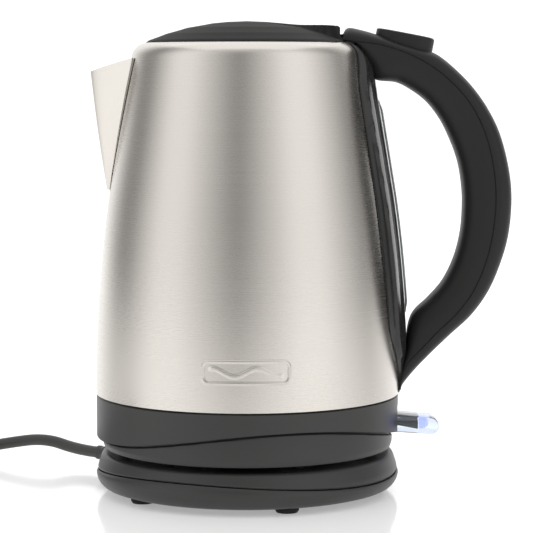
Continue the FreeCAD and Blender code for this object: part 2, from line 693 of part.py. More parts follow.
def handle():
    half, wall = DIMENSIONS["handle_width"] / 2, DIMENSIONS["handle_wall"]
    outer, gap, seam = handle_wires()
    whole = slab(outer, half).cut(slab(gap, half + 1))
    back, front = moved_in(HANDLE_BACK[:-1], wall), moved_in(FINGER_GAP, -wall)
    hollow_wire = Part.Wire([smooth(back), straight(back[-1], (62.0, 56.0)),
                             straight((62.0, 56.0), (50.6, 235.0)), straight((50.6, 235.0), back[0])])
    gap_wire = Part.Wire([smooth(front), straight(front[-1], (56.0, 84.0)),
                          straight((56.0, 84.0), (50.0, 216.0)), straight((50.0, 216.0), front[0])])
    hollow = slab(hollow_wire, half - wall).cut(slab(gap_wire, half))
    shell = whole.cut(hollow)
    outside = slab(seam, half + 5)
    thick = DIMENSIONS["spine_thickness"]
    core = turned("handle_seat", [(0, 50.2)] + [(spine_line(thick + 0.2)[0][0], 50.2)]
                  + spine_line(thick + 0.2) + [(0, 232.0)])
    well = feature("button_well", button_prism(DIMENSIONS["running_gap"], 14.0, 8.0))
    knuckle_slot = block("knuckle_slot", (44, -5.5, 226), (20.2, 11, 20))
    pin_hole = crossbar("pin_hole", 1.6, 20.0, size("hinge_reach"), size("hinge_height"))
    cover = feature("handle_cover_form", shell.common(outside))
    grip = feature("handle_grip_form", shell.cut(outside))
    cut("handle_outer", cover, core, well, knuckle_slot, pin_hole)
    cut("handle_inner", grip, core, knuckle_slot, pin_hole)

    arc, bend = DIMENSIONS["steel_side_arc"], DIMENSIONS["shoulder_arc"]
    low = spine_line(0.3)
    outline = spine_line(thick) + [
        low[3][:2], (low[2][0], low[2][1], -(bend + 0.3)), low[1][:2],
        (low[0][0], low[0][1], -(arc + 0.3))]
    outline[0] = outline[0][:2]
    frame = turned("spine_form", outline, size("spine_angle"))
    slot = block("spine_window_slot", (60, -5.7, 92.8), (30, 11.4, 110.4))
    hinge_room = block("hinge_room", (44, -11, 229.5), (22, 22, 10))
    duct = tube("steam_duct", steam_path(), 1.5)
    tube("steam_tube", steam_path(), 1.0)
    cut("handle_spine", frame, slot, hinge_room, duct)

    screws = []
    for x, z in ((90.6, 75.6), (101.5, 207.0)):
        shank = crossbar("handle_shank", 1.3, 8.0, x, z)
        head = crossbar("handle_head", 2.6, 0.9, x, z, y=-8.8)
        screws.append(fuse("handle_screw", shank, head))
    group("handle_screws", screws)


def gauge():
    """The water level window, let through the steel and the spine."""
    low, high = DIMENSIONS["window_bottom"], DIMENSIONS["window_top"]

    def strip(name, inner, outer, half, bottom, top, angle=24.0):
        points = jug_side(outer)[:3]
        back = jug_side(inner)[:3]
        arc = DIMENSIONS["steel_side_arc"]
        outline = [points[0][:2], points[1], points[2], back[2][:2], back[1][:2],
                   (back[0][0], back[0][1], -(arc + inner))]
        form = turned(name + "_form", outline, angle)
        return common(name, form, block(name + "_bounds", (50, -half, bottom),
                                        (50, 2 * half, top - bottom)))

    window = strip("window_shell", -2.0, 6.2, DIMENSIONS["window_width"] / 2, low, high)
    channel = strip("window_channel", -3.0, 4.4, 3.8, low + 2, high - 2)
    cut("water_window", window, channel)
    outside = strip("seal_shell", -1.6, 0.2, 6.9, low - 1.4, high + 1.4)
    inside = strip("seal_opening", -4.0, 4.0, 5.6, low - 0.1, high + 0.1)
    cut("window_seal", outside, inside)


def steam_path():
    """Steam falls through this duct from under the lid to the bimetal disc in the base."""
    return [(61.6, 12.5, 217.0), (66.0, 12.5, 193.0), (71.5, 12.5, 158.0),
            (77.0, 12.5, 110.0), (79.9, 12.5, 54.0)]


# ---- lid, button and latch ------------------------------------------------------------------------

def lid():
    radius, edge, crown, wall = (size(name) for name in (
        "lid_radius", "lid_edge", "lid_crown", "lid_wall"))
    dome = [(0, crown), (0, edge), (radius, edge), (radius, edge + 0.8), (41.7, edge + 4.2, 60.0),
            (18.0, crown - 1.2, 150.0)]
    form = turned("lid_form", dome)
    bar = padded("lid_bar", [(6.0, 236.0), (47.8, 232.6), (50.3, 239.4), (44.0, 240.9),
                             (20.0, 242.0)], size("handle_width"))
    hollow = turned("lid_hollow", [(0, edge - 1), (46.0, edge - 1), (46.0, edge + 0.4),
                                   (38.0, edge + 2.6), (0, crown - wall)])
    seat = crossbar("nose_clearance", size("nose_radius") + 0.5, 30.0,
                    size("hinge_reach"), size("hinge_height"))
    reach, height = size("hinge_reach"), size("hinge_height")
    knuckle_disc = crossbar("knuckle_disc", size("knuckle_radius"), size("knuckle_width") * 0.5,
                            reach, height)
    room = block("knuckle_room", (44, -6, 232.4), (15.9, 12, 4.1))
    arm = block("knuckle_arm", (44.0, -5, 232.4), (13.0, 10, 4.1))
    eye = crossbar("knuckle_eye", 2.3, size("knuckle_width") * 0.5, reach, height)
    knuckle = fuse("knuckle", common("knuckle_top", knuckle_disc, room), arm, eye)
    pin_hole = crossbar("knuckle_bore", 1.5, 20.0, reach, height)
    shell = cut("lid_shell", fuse("lid_whole", form, bar), hollow, seat)
    cut("lid_cover", fuse("lid_with_knuckle", shell, knuckle), pin_hole)
    crossbar("hinge_pin", 1.4, 11.4, reach, height)

    plug_radius = size("lid_plug_radius")
    cup = turned("lid_cup", [
        (0, 223.0), (plug_radius - 1.5, 223.0), (plug_radius, 224.5), (plug_radius, 226.0),
        (plug_radius - 1.2, 226.0), (plug_radius - 1.2, 228.2), (plug_radius, 228.2),
        (plug_radius, 231.0), (45.8, 231.0), (45.8, edge + 0.2), (44.0, edge + 0.2),
        (44.0, 225.0), (0, 225.0)])
    wells = ring_of("lid_screw_wells", 3, plug_radius * 0.72, 90,
                    lambda name, x, y: cylinder(name, 1.6, 4, x, y, 222))
    cut("lid_inner", cup, wells)
    turned("lid_seal", [(plug_radius - 1.1, 226.1), (plug_radius + 1.9, 226.4),
                        (plug_radius + 1.9, 227.6), (plug_radius - 1.1, 228.1)])
    ring_of("lid_screws", 3, plug_radius * 0.72, 90,
            lambda name, x, y: screw(name, x, y, 221.3, length=8.0))


BUTTON_CENTRE = Vector(DIMENSIONS["button_reach"], 0, DIMENSIONS["button_height"])


def button_prism(margin, depth, above):
    """A prism with round ends, square to the sloping top of the lid button."""
    length = DIMENSIONS["button_length"] + 2 * margin
    width = DIMENSIONS["button_width"] + 2 * margin
    half, end = length / 2 - width / 2, width / 2
    middle = Part.makeBox(2 * half, width, depth + above, Vector(-half, -end, -depth))
    ends = [Part.makeCylinder(end, depth + above, Vector(side * half, 0, -depth))
            for side in (-1, 1)]
    made = middle.fuse(ends).removeSplitter()
    made.Placement = Placement(BUTTON_CENTRE, Rotation(ACROSS, DIMENSIONS["button_tilt"]))
    return made


def controls():
    """The button is a wedge: shallow towards the lid and deep where the handle falls away."""
    depth, half = DIMENSIONS["button_depth"], DIMENSIONS["button_length"] / 2
    tilt = Rotation(ACROSS, DIMENSIONS["button_tilt"])
    solid = feature("button_form", button_prism(0.0, depth, 0.0))
    hollow = feature("button_hollow", button_prism(-2.0, depth + 1, -2.0))
    below = feature("button_underside", Part.makeBox(80, 40, 20, Vector(-60, -20, -20)))
    below.Placement = Placement(
        BUTTON_CENTRE + tilt.multVec(Vector(half, 0, -depth)),
        Rotation(ACROSS, DIMENSIONS["button_tilt"] + DIMENSIONS["button_taper"]))
    cut("lid_button", solid, hollow, below)
    low = DIMENSIONS["latch_height"]
    padded("latch_slider", [(64.8, low), (76.6, low), (76.6, low + 1.6), (72.6, low + 3.0),
                            (64.8, low + 3.0)], 7.0)
    foot = BUTTON_CENTRE - tilt.multVec(UP) * 13.0 + tilt.multVec(Vector(8.6, 0, 0))
    spring("button_spring", 3.4, 0.8, 10.0, 6, Placement(foot, tilt))
    spring("latch_spring", 1.6, 0.5, 6.4, 6,
           Placement(Vector(77.2, 0, low + 0.8), Rotation(UP, Vector(1, 0, 0))))
    spring("hinge_spring", 2.4, 0.7, 4.2, 5,
           Placement(Vector(57.0, 6.2, 233.0), Rotation(UP, ACROSS)))


# ---- switch lever ---------------------------------------------------------------------------------

def switch():
    pivot_x, pivot_z = size("lever_pivot_reach"), size("lever_pivot_height")
    width = size("lever_width")
    paddle = padded("lever_paddle", [
        (58.0, 31.4), (76.0, 30.8), (97.5, 29.7), (99.8, 33.5, 4.6), (95.3, 38.7, 6.5),
        (76.0, 40.6), (58.0, 40.8)], width)
    inside = block("lamp_room", (57, -5.2, 31.9), (37.6, 10.4, 6.3))
    body = cut("lever_body", paddle, inside)
    stubs = [crossbar(f"trunnion_{side}", 2.0, 1.6, pivot_x, pivot_z, y=side * (9 + 1.5))
             for side in (-1, 1)]
    fuse("switch_lever", body, *stubs)
    block("lamp_holder", (66, -5, 32.1), (23, 10, 5.8))
    lamp = doc.addObject("Part::Cylinder", "lamp_stem")
    lamp.Radius, lamp.Height = 2.4, 3.0
    lamp.Placement = Placement(Vector(89.1, 0, 34.8), Rotation(UP, Vector(1, 0, 0)))
    tip = doc.addObject("Part::Sphere", "lamp_tip")
    tip.Radius = 2.2
    tip.Placement.Base = Vector(91.6, 0, 34.8)
    fuse("indicator_lamp", lamp, tip)

    cheeks = []
    for side in (-1, 1):
        low = 9.5 if side > 0 else -12.5
        cheeks.append(block(f"bracket_cheek_{side}", (57, low, 27.0), (10, 3.0, 13.5)))
    bridge = block("bracket_bridge", (52.0, -12.5, 27.0), (5.0, 25.0, 4.0))
    bores = crossbar("bracket_bore", 2.4, 16.0, pivot_x, pivot_z)
    cut("lever_bracket", fuse("bracket_whole", bridge, *cheeks), bores)


NODES = """
base_lower_shell base_upper_shell base_socket socket_contacts base_feet base_screws cord_clamp
clamp_screws inner_cord base_leads strain_relief power_cord cord_coil cord_tie cord_tail
plug_body plug_pins plug_earth_contacts connector_housing connector_pin contact_rings steel_body
spout rim_collar filter_frame filter_mesh heating_plate heating_element control_housing
bimetal_disc base_skirt kettle_bottom_cover kettle_feet bottom_screws handle_outer handle_inner
handle_spine handle_screws water_window window_seal steam_tube lid_cover lid_inner lid_seal
lid_screws hinge_pin hinge_spring lid_button button_spring latch_slider latch_spring
switch_lever lamp_holder indicator_lamp lever_bracket
""".split()


def write_nodes():
    doc.recompute()
    failed = [item.Name for item in doc.Objects
              if "Invalid" in item.State or "Error" in item.State]
    if failed:
        raise RuntimeError("failed to recompute: " + ", ".join(failed))
    os.makedirs(OUT, exist_ok=True)
    for name in NODES:
        shape = doc.getObjectsByLabel(name)[0].Shape
        if shape.isNull() or not shape.isValid() or shape.Volume <= 0:
            raise RuntimeError(f"{name} has no valid solid")
        shape.exportStep(os.path.join(OUT, name + ".step"))
    print(f"{len(NODES)} pieces written")


power_base()
cord_entry()
supply_cord()
plug()
connector()
steel_parts()
heater()
skirt()
handle()
gauge()
lid()
controls()
switch()
write_nodes()
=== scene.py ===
# %% [markdown]
# # An electric kettle around its imported frame
# The frame holds every working part at its real size. This lesson adds the looks: smooth shells,
# brushed steel, moulded plastic, a clear lever with a lamp, and the supply lead. We first load
# the frame. Nothing visible may grow past it.

# %% Load the frame
import math

import bmesh
import bpy
from mathutils import Matrix, Vector


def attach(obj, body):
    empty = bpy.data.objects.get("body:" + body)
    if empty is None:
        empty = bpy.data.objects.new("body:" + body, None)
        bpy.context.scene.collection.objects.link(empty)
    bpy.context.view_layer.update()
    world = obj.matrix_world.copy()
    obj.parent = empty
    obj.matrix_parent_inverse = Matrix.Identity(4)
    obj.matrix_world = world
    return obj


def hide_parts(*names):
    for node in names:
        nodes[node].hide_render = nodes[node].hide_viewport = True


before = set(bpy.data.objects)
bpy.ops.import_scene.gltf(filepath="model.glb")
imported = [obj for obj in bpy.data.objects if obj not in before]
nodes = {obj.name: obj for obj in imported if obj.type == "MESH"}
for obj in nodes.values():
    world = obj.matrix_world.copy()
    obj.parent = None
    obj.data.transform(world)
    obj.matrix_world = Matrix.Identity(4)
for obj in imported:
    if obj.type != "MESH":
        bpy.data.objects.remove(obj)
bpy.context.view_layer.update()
MM = 0.001

# %% [markdown]
# ## Node trees written as sums
# Both materials and Geometry Nodes are trees of small boxes. Drawing a formula with boxes is hard
# to read, so one class wraps a socket and lets us write `1 - mask * 2`. Each sign adds a Math node.


# %% A board to put nodes on, and wires that can be added and multiplied
class Board:
    def __init__(self, tree):
        self.tree = tree

    def add(self, kind, settings=None, values=None, out=0):
        node = self.tree.nodes.new(kind)
        for name, value in (settings or {}).items():
            if name == "stops":
                for stop, (place, colour) in zip(ramp_stops(node, len(value)), value):
                    stop.position, stop.color = place, colour
            else:
                setattr(node, name, value)
        for name, value in (values or {}).items():
            if isinstance(value, Wire):
                self.tree.links.new(value.socket, node.inputs[name])
            else:
                node.inputs[name].default_value = value
        return Wire(self, node.outputs[out]) if len(node.outputs) else node


def ramp_stops(node, count):
    stops = node.color_ramp.elements
    while len(stops) < count:
        stops.new(1.0)
    return stops


class Wire:
    def __init__(self, board, socket):
        self.board, self.socket = board, socket

    def maths(self, operation, *values):
        return self.board.add("ShaderNodeMath", {"operation": operation}, dict(enumerate(values)))

    def out(self, name):
        return Wire(self.board, self.socket.node.outputs[name])

    def __add__(self, other):
        return self.maths("ADD", self, other)

    def __sub__(self, other):
        return self.maths("SUBTRACT", self, other)

    def __rsub__(self, other):
        return self.maths("SUBTRACT", other, self)

    def __mul__(self, other):
        return self.maths("MULTIPLY", self, other)

    __radd__, __rmul__ = __add__, __mul__


# %% [markdown]
# ## Finishes
# Every finish starts from the Principled shader. What is the same all over is set on its own
# sockets; only colour, roughness and bump vary. Patterns read Object coordinates in metres, so
# a scale of 1000 means one cycle per millimetre.


# %% A helper that starts a finish, and two patterns
def finish(name, **sockets):
    material = bpy.data.materials.new(name)
    material.use_nodes = True
    board = Board(material.node_tree)
    shader = material.node_tree.nodes["Principled BSDF"]
    for socket, value in sockets.items():
        shader.inputs[socket.replace("_", " ")].default_value = value
    place = board.add("ShaderNodeTexCoord").out("Object")
    return material, board, shader, place


def noise(board, place, scale, stretch=(1, 1, 1), detail=3.0):
    turned = board.add("ShaderNodeMapping", {"vector_type": "POINT"},
                       {"Vector": place, "Scale": stretch})
    return board.add("ShaderNodeTexNoise", None,
                     {"Vector": turned, "Scale": scale, "Detail": detail}).out("Fac")


def feed(board, shader, socket, wire):
    board.tree.links.new(wire.socket, shader.inputs[socket])


def bump(board, shader, height, strength, distance):
    wire = board.add("ShaderNodeBump", None,
                     {"Height": height, "Strength": strength, "Distance": distance})
    feed(board, shader, "Normal", wire)


def two_colours(board, factor, dark, light):
    return board.add("ShaderNodeMix", {"data_type": "RGBA"},
                     {"Factor": factor, 6: (*dark, 1), 7: (*light, 1)}, out=2)


# %% [markdown]
# ### Brushed steel
# The jug is polished by a belt that runs round it, so its scratches are long and level. A noise
# squeezed upwards and drawn out sideways gives them. It moves the roughness and a very small bump.

# %% Brushed steel
def brushed_steel(name, tone=0.66, rough=0.27, stretch=(9, 9, 2600)):
    material, board, shader, place = finish(name, Metallic=1.0)
    lines = noise(board, place, 1.0, stretch, 4.0)
    cloud = noise(board, place, 18.0)
    feed(board, shader, "Base Color", two_colours(
        board, lines * 0.7 + cloud * 0.3,
        (tone * 0.965, tone * 0.91, tone * 0.845), (tone * 1.03, tone * 0.98, tone * 0.915)))
    feed(board, shader, "Roughness", lines * 0.05 + cloud * 0.04 + (rough - 0.045))
    bump(board, shader, lines, 0.006, 0.0001)
    return material


STEEL = brushed_steel("brushed_steel")
INNER_STEEL = brushed_steel("satin_inner_steel", tone=0.5, rough=0.36)
SPOUT_STEEL = brushed_steel("polished_spout_steel", tone=0.72, rough=0.2, stretch=(150, 150, 40))
print("steel finishes made")

# %% [markdown]
# ### Moulded plastic
# A satin moulding has a fine spark-eroded grain: tiny soft pits a third of a millimetre apart.
# The colour also drifts a little over the part, and rubbed places are slightly smoother.


# %% Plastics and rubbers
def moulding(name, tone, rough=0.42, grain=2400.0, depth=0.12, sheen_warm=0.97, shine=0.5):
    material, board, shader, place = finish(
        name, Metallic=0.0, IOR=1.42, Specular_IOR_Level=shine)
    pits = noise(board, place, grain, detail=2.0)
    drift = noise(board, place, 25.0)
    dark = (tone * 0.9, tone * 0.9, tone * 0.9 * sheen_warm)
    light = (tone * 1.12, tone * 1.12, tone * 1.12 * sheen_warm)
    feed(board, shader, "Base Color", two_colours(board, drift * 0.7 + pits * 0.3, dark, light))
    feed(board, shader, "Roughness", pits * 0.14 + drift * 0.1 + (rough - 0.12))
    bump(board, shader, pits, depth, 0.0001)
    return material


GREY_PLASTIC = moulding("grey_satin_moulding", 0.040, rough=0.40)
DARK_PLASTIC = moulding("dark_satin_moulding", 0.020, rough=0.46, shine=0.3)
LID_PLASTIC = moulding("matt_lid_moulding", 0.022, rough=0.6, shine=0.12)
SPINE_PLASTIC = moulding("glossy_window_surround", 0.026, rough=0.26)
# Besides the real black parts, this finish colours the painted shadow strips beside the spout.
BLACK_PLASTIC_AND_SHADE = moulding("black_inner_moulding_and_painted_shade", 0.010, rough=0.5)
RUBBER = moulding("soft_black_rubber", 0.012, rough=0.75, grain=1500.0, depth=0.2)
SLEEVE = moulding("lead_sleeve", 0.060, rough=0.4, grain=900.0, depth=0.15)


# %% Plain metals
def plain_metal(name, colour, rough):
    material, board, shader, place = finish(name, Metallic=1.0)
    smears = noise(board, place, 240.0)
    feed(board, shader, "Base Color", two_colours(
        board, smears, tuple(0.85 * part for part in colour), colour))
    feed(board, shader, "Roughness", smears * 0.2 + (rough - 0.1))
    return material


PLATED = plain_metal("nickel_plate", (0.75, 0.73, 0.68), 0.25)
ZINC = plain_metal("zinc_plated_steel", (0.58, 0.59, 0.6), 0.35)
COPPERY = plain_metal("bimetal_strip", (0.6, 0.45, 0.33), 0.3)


# %% [markdown]
# ### Clear parts and the lamp
# The water window and the switch lever are clear plastic. Transmission with a low roughness does
# it, and a faint cloud in the roughness stops it looking like nothing at all.

# %% Clear plastic and the blue lamp
def clear_plastic(name, colour, rough):
    material, board, shader, place = finish(
        name, Base_Color=(*colour, 1), Transmission_Weight=0.92, IOR=1.46)
    feed(board, shader, "Roughness", noise(board, place, 160.0) * 0.1 + rough)
    return material


CLEAR_WINDOW = clear_plastic("clear_window", (0.80, 0.84, 0.84), 0.06)
CLEAR_LEVER = clear_plastic("clear_lever", (0.74, 0.81, 0.92), 0.0)


def lamp_finish():
    material, board, shader, place = finish(
        "blue_lamp", Base_Color=(0.2, 0.3, 1.0, 1), Emission_Strength=2.2, Roughness=0.2)
    glow = noise(board, place, 400.0)
    feed(board, shader, "Emission Color", two_colours(
        board, glow, (0.14, 0.16, 1.0), (0.3, 0.33, 1.0)))
    return material


LAMP = lamp_finish()

# %% [markdown]
# ## Camera, light and floor
# The camera stands in front, level with the top of the kettle, and looks down five degrees. What
# the steel shows is the room round it, so the room is a plain soft studio: a pale panel on the
# left, one on the right and one behind, with dim gaps between. A big box above lights the table.

# %% Camera
camera_data = bpy.data.cameras.new("camera")
camera_data.lens = 145.55
camera_data.sensor_width = 36.0
camera = bpy.data.objects.new("camera", camera_data)
bpy.context.scene.collection.objects.link(camera)
camera.location = (0.00995, -1.1141, 0.21447)
camera.rotation_euler = (math.radians(90 - 5.025), 0, 0)
bpy.context.scene.camera = camera


# %% Lights, world and floor
def softbox(name, place, target, width, height, power):
    light = bpy.data.lights.new(name, "AREA")
    light.shape, light.size, light.size_y = "RECTANGLE", width, height
    light.energy = power
    lamp = bpy.data.objects.new(name, light)
    bpy.context.scene.collection.objects.link(lamp)
    lamp.location = place
    lamp.rotation_euler = (Vector(target) - Vector(place)).to_track_quat("-Z", "Y").to_euler()


softbox("top_box", (0.0, 0.15, 1.3), (0, 0, 0.1), 1.6, 1.5, 4.0)

# Three broad upright panels stand round the table in a dim room. Each has its compass direction
# in degrees (0 = towards the camera, positive = right), half its width and its brightness.
PANELS = [(-65, 10, 1.15), (50, 10, 1.2), (180, 30, 1.2)]
PANEL_FADE = 45  # degrees over which a panel's edge fades into the room
ROOM_LEVEL = 0.3
CEILING_LEVEL = 0.36


def room_stops():
    """The room's brightness at the places of a ramp that runs once round, from back to back."""
    levels = []
    for direction, half, level in PANELS:
        for turn in (-360, 0):
            middle = direction + turn
            levels += [(middle - half - PANEL_FADE, ROOM_LEVEL), (middle - half, level),
                       (middle + half, level), (middle + half + PANEL_FADE, ROOM_LEVEL)]
    return [(angle / 360 + 0.5, (level / 2, level / 2, level / 2, 1))
            for angle, level in sorted(levels) if -180 <= angle <= 180]


world = bpy.data.worlds.new("studio")
bpy.context.scene.world = world
world.use_nodes = True
world_board = Board(world.node_tree)
look = world_board.add("ShaderNodeTexCoord").out("Generated")
side = world_board.add("ShaderNodeSeparateXYZ", None, {0: look})
compass = side.out("X").maths("ARCTAN2", side.out("X"), side.out("Y") * -1.0)
wall = world_board.add("ShaderNodeValToRGB", {"stops": room_stops()},
                       {"Fac": compass * (0.5 / math.pi) + 0.5})
upward = world_board.add("ShaderNodeMapRange", {"interpolation_type": "SMOOTHSTEP"},
                         {0: side.out("Z"), 1: 0.55, 2: 0.9, 3: 0.0, 4: 1.0})
room = world_board.add("ShaderNodeMix", {"data_type": "RGBA"},
                       {"Factor": upward, 6: wall, 7: (CEILING_LEVEL,) * 3 + (1,)}, out=2)
background = world.node_tree.nodes["Background"]
world.node_tree.links.new(room.socket, background.inputs["Color"])
background.inputs["Strength"].default_value = 2.0
bpy.context.scene.view_settings.view_transform = "Standard"


def floor():
    mesh = bpy.data.meshes.new("floor")
    far = 3.0
    mesh.from_pydata([(-far, -far, 0), (far, -far, 0), (far, far, 0), (-far, far, 0)], [],
                     [(0, 1, 2, 3)])
    made = bpy.data.objects.new("floor", mesh)
    bpy.context.scene.collection.objects.link(made)
    material, board, shader, place = finish(
        "white_gloss_table", Roughness=0.12, Emission_Color=(1, 1, 1, 1), Emission_Strength=0.32)
    feed(board, shader, "Base Color", two_colours(
        board, noise(board, place, 6.0), (0.9, 0.9, 0.9), (0.93, 0.93, 0.93)))
    mesh.materials.append(material)


floor()

# %% [markdown]
# ## Mesh helpers
# Most shells here are grids: rows that climb and columns that go round. `skin` closes an outer
# and an inner grid into one solid wall. `loft` closes a stack of rings. Both end with clean
# outward normals, and `settle` gives a piece its finish and its body.


# %% Skins, lofts and finishing
def new_piece(name, points, faces):
    mesh = bpy.data.meshes.new(name)
    mesh.from_pydata([tuple(part * MM for part in point) for point in points], [], faces)
    work = bmesh.new()
    work.from_mesh(mesh)
    bmesh.ops.remove_doubles(work, verts=work.verts, dist=1e-6)
    bmesh.ops.recalc_face_normals(work, faces=work.faces)
    work.to_mesh(mesh)
    work.free()
    piece = bpy.data.objects.new(name, mesh)
    bpy.context.scene.collection.objects.link(piece)
    return piece


def settle(piece, material, body, replaced=(), crease=38.0, bevel=0.0):
    piece.data.materials.clear()
    piece.data.materials.append(material)
    piece.data.shade_smooth()
    piece.data.set_sharp_from_angle(angle=math.radians(crease))
    if bevel:
        rounding = piece.modifiers.new("rounding", "BEVEL")
        rounding.width, rounding.segments = bevel * MM, 3
        rounding.limit_method, rounding.angle_limit = "ANGLE", math.radians(crease)
        rounding.harden_normals = True
    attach(piece, body)
    if replaced:
        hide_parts(*replaced)
    return piece


def quads(rows, columns, wrap, first=0, flip=False):
    faces = []
    for row in range(rows - 1):
        for column in range(columns if wrap else columns - 1):
            after = (column + 1) % columns
            a, b = first + row * columns + column, first + row * columns + after
            face = (a, b, b + columns, a + columns)
            faces.append(face[::-1] if flip else face)
    return faces


def skin(name, outer, inner, wrap):
    """A closed wall between two grids of the same size."""
    rows, columns = len(outer), len(outer[0])
    points = [point for grid in (outer, inner) for row in grid for point in row]
    shift = rows * columns
    faces = quads(rows, columns, wrap) + quads(rows, columns, wrap, shift, True)
    for column in range(columns if wrap else columns - 1):
        after = (column + 1) % columns
        faces.append((column, after, after + shift, column + shift))
        top = (rows - 1) * columns
        faces.append((top + column, top + column + shift, top + after + shift, top + after))
    if not wrap:
        for row in range(rows - 1):
            for edge in (0, columns - 1):
                a = row * columns + edge
                faces.append((a, a + columns, a + columns + shift, a + shift))
    return new_piece(name, points, faces)


def loft(name, rings):
    """A closed solid through rings of the same number of points."""
    columns = len(rings[0])
    points = [point for ring in rings for point in ring]
    faces = quads(len(rings), columns, True)
    for ring, start in ((rings[0], 0), (rings[-1], (len(rings) - 1) * columns)):
        points.append(sum((Vector(point) for point in ring), Vector()) / columns)
        hub = len(points) - 1
        faces += [(hub, start + index, start + (index + 1) % columns) for index in range(columns)]
    return new_piece(name, points, faces)


def spline(stations, count):
    """Points spread evenly in parameter along a smooth line through the stations."""
    found = []
    last = len(stations) - 1
    for step in range(count):
        where = step / (count - 1) * last
        index = min(int(where), last - 1)
        part = where - index
        p = [Vector(stations[min(max(index + offset, 0), last)]) for offset in (-1, 0, 1, 2)]
        found.append(0.5 * ((2 * p[1]) + (p[2] - p[0]) * part
                            + (2 * p[0] - 5 * p[1] + 4 * p[2] - p[3]) * part ** 2
                            + (3 * p[1] - p[0] - 3 * p[2] + p[3]) * part ** 3))
    return found


def turn(radius, angle, height):
    return (radius * math.cos(angle), radius * math.sin(angle), height)


def smooth_step(low, high, value):
    part = min(max((value - low) / (high - low), 0.0), 1.0)
    return part * part * (3 - 2 * part)


# %% [markdown]
# ## Steel jug
# The real jug is one drawn and rolled tube with a tight shoulder. A lathe form suits it. The
# outer line is an arc, a straight cone and a small shoulder arc, and the wall follows 1 mm in.
# The window slot and the pouring hole are left out of the grid, so that light gets through.

# %% Jug profile
JUG_LOW, JUG_MIDDLE, JUG_SHOULDER, JUG_RIM = (78.7, 51.7), (71.3, 153.0), (59.5, 224.7), (52.5, 231.9)


def arc_points(start, end, radius, count):
    start, end = Vector(start), Vector(end)
    chord = end - start
    side = Vector((chord.y, -chord.x)).normalized()
    half = chord.length / 2
    centre = (start + end) / 2 - side * math.sqrt(radius * radius - half * half)
    first = math.atan2(*(start - centre).yx)
    last = math.atan2(*(end - centre).yx)
    return [centre + radius * Vector((math.cos(a), math.sin(a)))
            for a in (first + (last - first) * step / count for step in range(count + 1))]


def jug_line():
    low, middle = arc_points(JUG_LOW, JUG_MIDDLE, 715.0, 30), []
    shoulder = arc_points(JUG_SHOULDER, JUG_RIM, 8.5, 10)
    for step in range(1, 20):
        middle.append(Vector(JUG_MIDDLE).lerp(Vector(JUG_SHOULDER), step / 20))
    line = low + middle + shoulder
    return [(point.x, point.y) for point in line]


def jug_radius(height):
    line = jug_line()
    for (r0, z0), (r1, z1) in zip(line, line[1:]):
        if z0 <= height <= z1:
            return r0 + (r1 - r0) * (height - z0) / (z1 - z0)
    return line[0][0] if height < line[0][1] else line[-1][0]


def steel_jug():
    line = jug_line()
    wall = 0.9
    rows = [(radius, height, radius - wall) for radius, height in line]
    rows[-1] = (rows[-1][0], rows[-1][1], rows[-1][0] - 1.0)
    columns = 240
    points, faces = [], []
    for radius, height, inside in rows:
        for c in range(columns):
            points.append(turn(radius, 2 * math.pi * c / columns, height))
    shift = len(points)
    for radius, height, inside in rows:
        drop = 0.7 if height > 228 else 0.0
        for c in range(columns):
            points.append(turn(inside, 2 * math.pi * c / columns, height - drop))

    def open_here(row, c):
        angle = 2 * math.pi * (c + 0.5) / columns
        height = (rows[row][1] + rows[row + 1][1]) / 2
        x, y = rows[row][0] * math.cos(angle), rows[row][0] * math.sin(angle)
        if x > 0 and abs(y) < 6.2 and 93 < height < 203:
            return True
        return x < 0 and abs(y) < 10.0 * (height - 164) / 55 and 168 < height < 218

    def cell(row, c):
        after = (c + 1) % columns
        a, b = row * columns + c, row * columns + after
        return a, b, b + columns, a + columns

    count = len(rows) - 1
    for row in range(count):
        for c in range(columns):
            if open_here(row, c):
                continue
            a, b, top_b, top_a = cell(row, c)
            faces.append((a, b, top_b, top_a))
            faces.append((a + shift, top_a + shift, top_b + shift, b + shift))
            for edge, other in (((a, b), (row - 1, c)), ((top_b, top_a), (row + 1, c)),
                                ((b, top_b), (row, (c + 1) % columns)),
                                ((top_a, a), (row, (c - 1) % columns))):
                beyond = not 0 <= other[0] < count
                if beyond or open_here(*other):
                    p, q = edge
                    faces.append((q, p, p + shift, q + shift))
    jug = new_piece("steel_jug", points, faces)
    return settle(jug, STEEL, "kettle", ["steel_body"], crease=50)


jug = steel_jug()
print("jug faces:", len(jug.data.polygons))


# %% [markdown]
# ### Relief badge
# A small embossed plate sits low on the front. It carries only a plain wave line. The plate is a
# grid laid on the jug, lifted by a height rule: a soft edge, a flat field and one raised wave.

